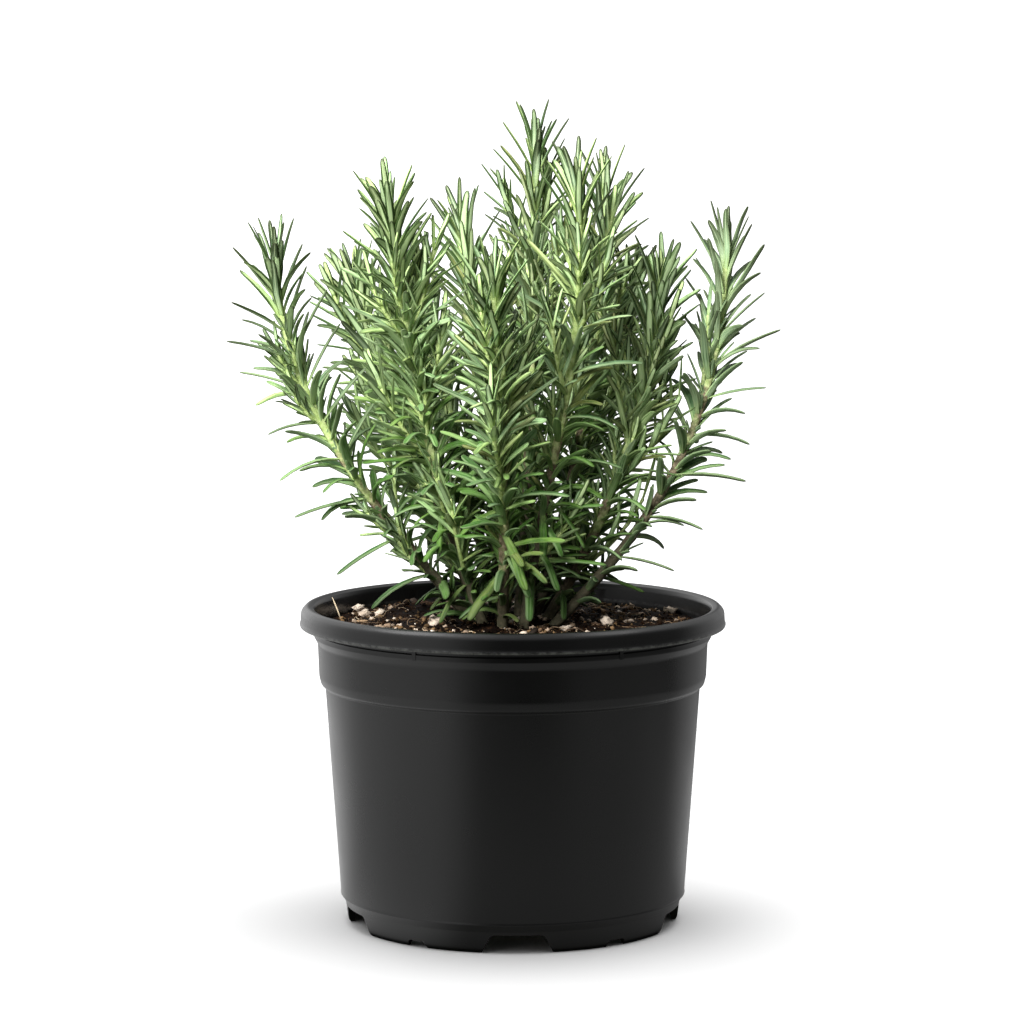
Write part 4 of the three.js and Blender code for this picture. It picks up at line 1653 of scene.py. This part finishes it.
def add_stem(shape, route, leaves, step, sides, root_depth, oldest):
    """A square stem with rounded edges, thicker where leaves grow, down to its root."""
    shares = np.linspace(0, 1, math.ceil(route.length / step) + 1)
    nodes = np.array([leaf["back"] for leaf in leaves])
    centres = [route.point(0) - (0, 0, root_depth)]
    directions = [route.along(0)]
    radii = [route.foot_radius]
    for share in shares:
        back = (1 - share) * route.length
        swelling = NODE_SWELLING * np.exp(-(((nodes - back) / NODE_REACH) ** 2)).max(initial=0)
        centres.append(route.point(share))
        directions.append(route.along(share))
        radii.append(route.radius(share) * STEM_FINE_SHARE + swelling)
    turns = np.arange(sides) * 2 * math.pi / sides
    powers = np.abs(np.cos(turns)) ** STEM_SQUARENESS + np.abs(np.sin(turns)) ** STEM_SQUARENESS
    squareness = powers ** (-1 / STEM_SQUARENESS)
    rings = []
    for centre, along, radius in zip(centres, directions, radii):
        first = sideways(along, route.turn)
        second = np.cross(along, first)
        ring = np.cos(turns)[:, None] * first + np.sin(turns)[:, None] * second
        rings.append(centre + ring * (radius * STEM_FLAT_SHARE * squareness)[:, None])
    corners = np.concatenate([*rings, [centres[-1] + directions[-1] * radii[-1]]])
    faces = tube_faces(len(rings), sides)
    faces.append(tuple(reversed(range(sides))))
    last = (len(rings) - 1) * sides
    for side in range(sides):
        faces.append((last + side, last + (side + 1) % sides, len(corners) - 1))
    ages = np.concatenate([[1], np.clip((1 - shares) * route.length / STEM_BARK_BACK, 0, 1)]) * oldest
    shape.add(corners, faces, STEM, age=np.append(np.repeat(ages, sides), 0.0), tint=0.5)


def build_stem(name, plant, materials):
    """One leafy stem: the stem, its leaves, side shoots, the small leaves in its axils and its bud."""
    shape = Shape("along", "side", "age", "tint")
    draw = seeded_draws(plant["seed"] + LATER_SEEDS["finish"])
    route = plant["route"]
    inner, outer = STEM_TINTS.get(name, USUAL_TINTS)
    add_stem(shape, route, plant["pairs"], STEM_FINE_STEP, STEM_SIDES, STEM_ROOT_DEPTH, 1)
    for leaf in plant["fill"] + plant["skirt"]:
        add_leaf(shape, leaf, LEAF_FORM, inner, draw)
    for leaf in plant["pairs"]:
        add_leaf(shape, leaf, LEAF_FORM, outer, draw)
        for small in tuft(route, leaf, draw):
            if in_box(leaf_line(small), small["half_width"]):
                add_leaf(shape, small, SMALL_LEAF_FORM, inner, draw)
    for shoot, leaves in plant["shoots"]:
        add_stem(shape, shoot, leaves, SHOOT_FINE_STEP, SHOOT_SIDES, 0, SHOOT_AGE)
        for small in leaves:
            add_leaf(shape, small, SMALL_LEAF_FORM, inner, draw)
    for small in bud(route, draw):
        add_leaf(shape, small, SMALL_LEAF_FORM, outer, draw)
    shape.values["age"] = [lerp(route.growth["shade"], 1, ages) for ages in shape.values["age"]]
    made = shape.piece(f"fine_stem_{name}", materials)
    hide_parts(f"leafy_stem_{name}")
    return made


# The studio


def build_camera():
    camera = bpy.data.cameras.new("camera")
    camera.sensor_width = SENSOR_WIDTH
    camera.lens = SENSOR_WIDTH * FOCAL_PIXELS / PICTURE_PIXELS
    camera.clip_end = VIEW_DEPTH * MM
    made = placed("camera", camera, CAMERA_PLACE)
    made.rotation_euler = (math.pi / 2 - CAMERA_PITCH, 0, 0)
    bpy.context.scene.camera = made


def ring_corners(radius):
    turns = np.arange(FLOOR_SIDES) * 2 * math.pi / FLOOR_SIDES
    return np.stack([np.cos(turns), np.sin(turns), 0 * turns], axis=1) * radius


def build_floor():
    """A round white floor, wide enough for the shadow, which leaves no mirror image in the pot."""
    shape = Shape()
    shape.add(ring_corners(FLOOR_RADIUS) - (0, 0, FLOOR_DROP), [tuple(range(FLOOR_SIDES))])
    material = Finish("floor_white").finish((0.88, 0.88, 0.88, 1), 0.9, 0.2)
    floor = shape.piece("floor", [material])
    floor.visible_glossy = False
    floor.visible_diffuse = False
    return floor


def build_card():
    """What the pot's gloss shows of the floor: dark under it and in front, bright at the left and behind."""
    shape = Shape("glow")
    rings = [ring_corners(row["radius"]) for row in CARD_RINGS]
    glows = []
    for row, ring in zip(CARD_RINGS, rings):
        glow = np.full(FLOOR_SIDES, float(row["all"]))
        for lobe in LOBES:
            facing = unit(ring)[:, :2] @ lobe["heading"]
            glow += lobe["glow"] * row[lobe["side"]] * smooth_step(*lobe["edges"], facing)
        glows.append(glow)
    shape.add(rings, tube_faces(len(rings), FLOOR_SIDES), glow=np.concatenate(glows))
    made = Finish("card_glow")
    made.feed(made.shader.inputs["Emission Color"], (1, 1, 1, 1))
    made.feed(made.shader.inputs["Emission Strength"], made.value("glow"))
    card = shape.piece("card", [made.finish((0, 0, 0, 1), 1, 0)])
    card.visible_camera = False
    card.visible_diffuse = False
    card.visible_shadow = False


def gathered(name, pieces):
    """A collection of pieces, for a light to be linked to."""
    made = bpy.data.collections.new(name)
    for piece in pieces:
        made.objects.link(piece)
    return made


def soft_light(name, light, target, lit, blocking=()):
    """A square soft light that faces a point, lights only some pieces and may be blocked only by some."""
    lamp = bpy.data.lights.new(name, "AREA")
    lamp.shape = "SQUARE"
    lamp.size = light["size"] * MM
    lamp.energy = light["power"]
    made = placed(name, lamp, light["place"])
    facing = Vector(target) - Vector(light["place"])
    made.rotation_mode = "QUATERNION"
    made.rotation_quaternion = facing.to_track_quat("-Z", "Y")
    made.light_linking.receiver_collection = gathered(f"lit_by_{name}", lit)
    if blocking:
        made.light_linking.blocker_collection = gathered(f"blocks_{name}", blocking)


def build_world():
    """A room bright overhead and at its sides, whose floor throws light back; the camera sees white."""
    world = bpy.data.worlds.new("world")
    world.use_nodes = True
    bpy.context.scene.world = world
    made = Nodes(world.node_tree)
    place = made.add("ShaderNodeTexCoord").outputs["Generated"]
    level = made.add("ShaderNodeVectorMath", {0: place, 1: (1, 1, 0)}, operation="MULTIPLY").outputs[0]
    heading = made.add("ShaderNodeVectorMath", {0: level}, operation="NORMALIZE").outputs[0]
    up = made.add("ShaderNodeSeparateXYZ", {"Vector": place}).outputs["Z"]
    around = made.spread(up, *HORIZON_EDGES, ROOM["below"], ROOM["base"])
    overhead = made.spread(up, *OVERHEAD_EDGES, 0.0, ROOM["overhead"], interpolation_type="SMOOTHSTEP")
    light = made.math("ADD", around, overhead)
    low_share = made.spread(up, *LOW_SIDES["edges"], LOW_SIDES["share"], 1.0)
    for lobe in LOBES:
        towards = {0: heading, 1: (*lobe["heading"], 0)}
        facing = made.add("ShaderNodeVectorMath", towards, operation="DOT_PRODUCT").outputs["Value"]
        glow = made.spread(facing, *lobe["edges"], 0.0, lobe["glow"], interpolation_type="SMOOTHSTEP")
        light = made.math("ADD", light, made.times(glow, low_share))
    path = made.add("ShaderNodeLightPath").outputs
    diffuse = path["Is Diffuse Ray"]
    softened = made.times(light, made.spread(diffuse, 0.0, 1.0, 1.0, ROOM["soft_share"]))
    thrown_back = made.times(diffuse, made.spread(up, *BOUNCE_EDGES))
    bounce = made.times(thrown_back, ROOM["bounce"])
    seen = made.times(path["Is Camera Ray"], ROOM["seen"])
    strength = made.math("ADD", seen, made.math("ADD", softened, bounce))
    background = made.tree.nodes["Background"]
    made.feed(background.inputs["Color"], made.mix(thrown_back, (1, 1, 1), BOUNCE_COLOUR))
    made.feed(background.inputs["Strength"], strength)


def build_lights(pot, soil, stems, floor):
    """Two lights on the plant, a wide one on the floor, two for the rim's gloss, and the room."""
    soft_light("key", KEY_LIGHT, PLANT_MIDDLE, [soil, *stems])
    soft_light("fill", FILL_LIGHT, PLANT_MIDDLE, stems)
    soft_light("floor_light", FLOOR_LIGHT, (0, 0, 0), [floor], [pot])
    soft_light("rim_light_left", RIM_LIGHT_LEFT, (0, 0, POT_HEIGHT), [pot])
    soft_light("rim_light_right", RIM_LIGHT_RIGHT, (0, 0, POT_HEIGHT), [pot])
    build_world()


build_camera()
pot = build_pot()
soil = build_soil()
green = [stem_skin(), leaf_skin()]
stems = [build_stem(name, plant, green) for name, plant in grow_all().items()]
for piece in [pot, soil, *stems]:
    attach(piece, "root")
floor = build_floor()
build_card()
build_lights(pot, soil, stems, floor)
bpy.context.scene.view_settings.view_transform = "Standard"
